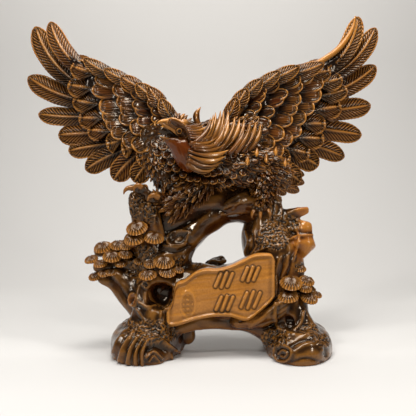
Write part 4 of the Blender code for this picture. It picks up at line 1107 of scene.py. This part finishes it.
# Small round feathers with raised rims: across, down, depth, size.
SCALLOP_GROWTH, SCALLOP_RUBS = 1.45, (0.35, 0.85)
SCALLOPS = (
    (213, 174, -46, 5), (213.5, 181, -44, 6), (221, 180, -42, 6), (226, 172, -42, 5), (205, 181, -46, 5),
    (219, 172, -44, 5), (207, 174, -48, 5), (233, 176, -38, 5.5), (228, 184, -38, 5), (197, 179, -47, 5),
    (236, 166, -36, 5), (243, 173, -34, 5), (250, 180, -30, 5), (160, 140, -30, 6), (163, 147, -34, 6),
    (166, 155, -36, 6), (171, 162, -40, 5.5), (176, 169, -44, 5.5), (155, 144, -22, 6), (158, 153, -28, 6),
    (162, 161, -32, 5.5), (168, 169, -38, 5.5), (183, 175, -44, 5), (190, 179, -45, 5), (175, 178, -42, 5),
)
# Tail feathers: root, tip and width. Then the small feathers on the body that are rubbed to full gold.
TAIL = (((262, 168, 10), (304, 183, 44), 13), ((264, 176, 10), (299, 191, 40), 13),
        ((262, 162, 12), (304, 175, 44), 12), ((262, 176, 2), (286, 194, 22), 12),
        ((262, 172, 4), (294, 187, 34), 11))
GOLD_TIPS = ((247.6, 158, -34), (266.5, 155, -22), (285.4, 159, -6), (257, 149, -26), (276, 148, -14))


def buried(point, limbs):
    """Whether a point lies well inside one of the limbs."""
    for stations in limbs:
        line = smooth_curve(stations, np.linspace(0, 1, 24))
        if np.any(np.linalg.norm(seen(*line[:, :3].T) - point, axis=1) < BURIED * line[:, 3] * UNIT):
            return True
    return False


def tufts(name, seed, rows_of_tufts, material):
    """Small feathers tiled over the limbs of the body."""
    skin = Skin()
    chance = random.Random(seed)
    limbs = [row[0] for row in TILED]
    for stations, (low, high), rows, (first, last), count, width, length, way, swirl, kind in rows_of_tufts:
        for i in range(rows):
            share = low + (high - low) * i / (rows - 1)
            line = smooth_curve(stations, (share, min(share + 0.02, 1.0), max(share - 0.02, 0.0)))
            centre, ahead, behind = seen(*line[:, :3].T)
            along = unit(ahead - behind)
            back, side = (directions[0] for directions in crosswise(along[None]))
            for j in range(count):
                turn = first + (last - first) * (j + 0.5 * (i % 2)) / count
                angle = math.radians(turn + chance.uniform(-5, 5))
                out = side * math.sin(angle) - back * math.cos(angle)
                around = np.cross(along, out)
                root = centre + out * line[0, 3] * UNIT * 0.93
                if buried(root, limbs):
                    continue
                reach = length * UNIT * chance.uniform(0.75, 1.25)
                heading = unit(along * way + around * (swirl + chance.uniform(-0.3, 0.3)))
                tip = root + heading * reach + out * reach * chance.uniform(0.16, 0.34)
                feather(skin, kind, root, tip, width * UNIT * chance.uniform(0.8, 1.2), facing=out,
                        bow=chance.uniform(-1.0, 1.0) * UNIT, warm=chance.uniform(0.1, 0.5),
                        curl=chance.uniform(0.0, 2.0) * UNIT, gold=chance.choice(TUFT_GOLDS),
                        rubbed=chance.choice(TUFT_RUBS))
    return skin.object(name, material)


def plumage(material):
    """Locks, scallops and tail feathers that stand on the body."""
    skin = Skin()
    chance = random.Random(BODY_SEED)
    for count, roots, tips, width, bow in LOCKS:
        for i in range(count):
            share = i / max(count - 1, 1)
            root, tip = smooth_curve(roots, share)[0], smooth_curve(tips, share)[0]
            tip = tip + np.array([chance.uniform(-LOCK_DRIFT, LOCK_DRIFT) for _ in range(3)])
            feather(skin, "lock", seen(*root), seen(*tip), width * UNIT, bow=bow * UNIT, arch=2.0 * UNIT,
                    warm=0.15, gold=chance.choice(LOCK_GOLDS), rubbed=0.6)
    for across, down, depth, size in SCALLOPS:
        drift = chance.uniform(-0.3, 0.3)
        feather(skin, "smooth", seen(across + drift * size, down - size * 0.7, depth + 2),
                seen(across - drift * size, down + size * 0.6, depth - 2), size * UNIT * SCALLOP_GROWTH,
                warm=0.2, rubbed=chance.uniform(*SCALLOP_RUBS))
    for root, tip, width in TAIL:
        feather(skin, "primary", seen(*root), seen(*tip), width * UNIT, warm=0.7)
    for across, down, depth in GOLD_TIPS:
        feather(skin, "lock", seen(across, down, depth + 3), seen(across - 0.5, down + 8, depth - 3),
                4.5 * UNIT, gold=1.0)
    return skin.object("plumage", material)


def talons(material):
    skin = Skin()
    for stations in CLAWS:
        add_tube(skin, stations, tone=CLAW_TONE, sides=14, steps=6)
    return skin.object("talons", material)


def resin(name):
    """Brown casting resin: dark glaze and painted shade in the grooves and hollows, gold rubbed on the
    ridges, clear lacquer over all.
    """
    material = bpy.data.materials.new(name)
    material.use_nodes = True
    nodes, links = material.node_tree.nodes, material.node_tree.links
    surface = nodes["Principled BSDF"]

    def feed(socket, value):
        if hasattr(value, "links"):
            links.new(value, socket)
        else:
            socket.default_value = value

    def mix(factor, a, b):
        made = nodes.new("ShaderNodeMix")
        made.data_type = "RGBA"
        for slot, value in ((0, factor), (6, a), (7, b)):
            feed(made.inputs[slot], value)
        return made.outputs[2]

    def maths(operation, a, b):
        made = nodes.new("ShaderNodeMath")
        made.operation, made.use_clamp = operation, True
        for slot, value in enumerate((a, b)):
            feed(made.inputs[slot], value)
        return made.outputs[0]

    def cloudy(scale, detail, roughness):
        made = nodes.new("ShaderNodeTexNoise")
        links.new(place, made.inputs["Vector"])
        made.inputs["Scale"].default_value = scale
        made.inputs["Detail"].default_value = detail
        made.inputs["Roughness"].default_value = roughness
        return made.outputs["Fac"]

    place = nodes.new("ShaderNodeNewGeometry").outputs["Position"]
    attribute = nodes.new("ShaderNodeAttribute")
    attribute.attribute_name = "tone"
    tones = nodes.new("ShaderNodeSeparateColor")
    links.new(attribute.outputs["Color"], tones.inputs[0])
    gold, groove, warm = tones.outputs[0], tones.outputs[1], tones.outputs[2]
    patches = cloudy(PATCH_SCALE, 4.0, 0.6)
    specks = cloudy(SPECK_SCALE, 3.0, 0.65)
    brown = mix(warm, mix(patches, DARK_BROWN, MID_BROWN), WARM_BROWN)
    rubbed = maths("MULTIPLY", gold, maths("ADD", maths("MULTIPLY", specks, 0.9), 0.42))
    colour = mix(rubbed, brown, RUBBED_GOLD)
    # Darkens towards the groove colour: real glaze in the hollows, and painted shade where a piece paints it.
    colour = mix(maths("MULTIPLY", groove, 0.92), colour, GLAZE_AND_SHADE_BROWN)
    links.new(colour, surface.inputs["Base Color"])
    rough_map = nodes.new("ShaderNodeMapRange")
    links.new(patches, rough_map.inputs["Value"])
    rough_map.inputs["To Min"].default_value, rough_map.inputs["To Max"].default_value = LACQUER_ROUGHNESS
    links.new(rough_map.outputs[0], surface.inputs["Roughness"])
    bump = nodes.new("ShaderNodeBump")
    bump.inputs["Strength"].default_value = SPECK_BUMP
    bump.inputs["Distance"].default_value = SPECK_HEIGHT
    links.new(specks, bump.inputs["Height"])
    links.new(bump.outputs[0], surface.inputs["Normal"])
    surface.inputs["Specular IOR Level"].default_value = 0.36
    surface.inputs["Specular Tint"].default_value = LACQUER_TINT
    surface.inputs["Coat Weight"].default_value = 0.12
    surface.inputs["Coat Roughness"].default_value = 0.05
    return material


def camera():
    data = bpy.data.cameras.new("camera")
    data.sensor_width = SENSOR
    data.lens = SENSOR * EYE_DISTANCE / SHEET_SIZE
    data.clip_start, data.clip_end = 0.05, 50.0
    made = placed("camera", data)
    made.location = seen(SHEET_MIDDLE, SHEET_MIDDLE, -EYE_DISTANCE)
    made.rotation_euler = (math.pi / 2, 0.0, 0.0)
    bpy.context.scene.camera = made


def softbox(name, place, aim, size, power, colour):
    data = bpy.data.lights.new(name, "AREA")
    data.shape = "RECTANGLE"
    data.size, data.size_y = size
    data.energy = power
    data.color = colour
    made = placed(name, data)
    made.location = place
    made.rotation_euler = (Vector(aim) - Vector(place)).to_track_quat("-Z", "Y").to_euler()


def picture():
    """Plain colours, as a product photograph has them."""
    settings = bpy.context.scene.view_settings
    settings.view_transform = "Standard"
    settings.look = "None"


def studio():
    """A pale sweep, a dim pale surround and soft boxes above, in front and behind."""
    bend, radius = 0.7, 0.9
    turns = np.linspace(0.1, math.pi / 2, 12)
    profile = [(-2.6, 0.0), (bend, 0.0)]
    profile += [(bend + radius * math.sin(turn), radius - radius * math.cos(turn)) for turn in turns]
    profile.append((bend + radius, 3.2))
    mesh = bmesh.new()
    rows = [[mesh.verts.new((x, y, z)) for x in (-4.0, 4.0)] for y, z in profile]
    for low, high in zip(rows, rows[1:]):
        mesh.faces.new((low[0], low[1], high[1], high[0]))
    data = bpy.data.meshes.new("sweep")
    mesh.to_mesh(data)
    mesh.free()
    data.shade_smooth()
    sweep = placed("sweep", data)
    paper = bpy.data.materials.new("paper")
    paper.use_nodes = True
    surface = paper.node_tree.nodes["Principled BSDF"]
    surface.inputs["Base Color"].default_value = PAPER
    surface.inputs["Roughness"].default_value = 0.75
    data.materials.append(paper)
    world = bpy.data.worlds.new("surround")
    bpy.context.scene.world = world
    world.use_nodes = True
    background = world.node_tree.nodes["Background"]
    background.inputs["Color"].default_value = SURROUND
    background.inputs["Strength"].default_value = SURROUND_STRENGTH
    for light in LIGHTS:
        softbox(*light)


def main():
    material = resin("brown_resin")
    pieces = (
        wood("trunk", TRUNK_LIMBS, TRUNK_DETAIL, material, scoops=SCOOPS[:1], blocks=CUT_BRANCHES),
        wood("roots", ROOT_LIMBS, ROOT_DETAIL, material, boulders=BOULDERS, scoops=SCOOPS),
        needle_cushions(material),
        board(material),
        bird(material),
        head(material),
        tufts("body_feathers", BODY_SEED, TILED[:1] + TILED[4:], material),
        tufts("mantle", MANTLE_SEED, TILED[1:4], material),
        plumage(material),
        talons(material),
        wing("left_wing", LEFT_PLATE, LEFT_ROWS, -WING_TWIST, material),
        wing("right_wing", RIGHT_PLATE, RIGHT_ROWS, WING_TWIST, material, BAR),
    )
    for piece in pieces:
        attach(piece, "root")
    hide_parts("eagle_on_pine")
    studio()
    picture()
    camera()


main()
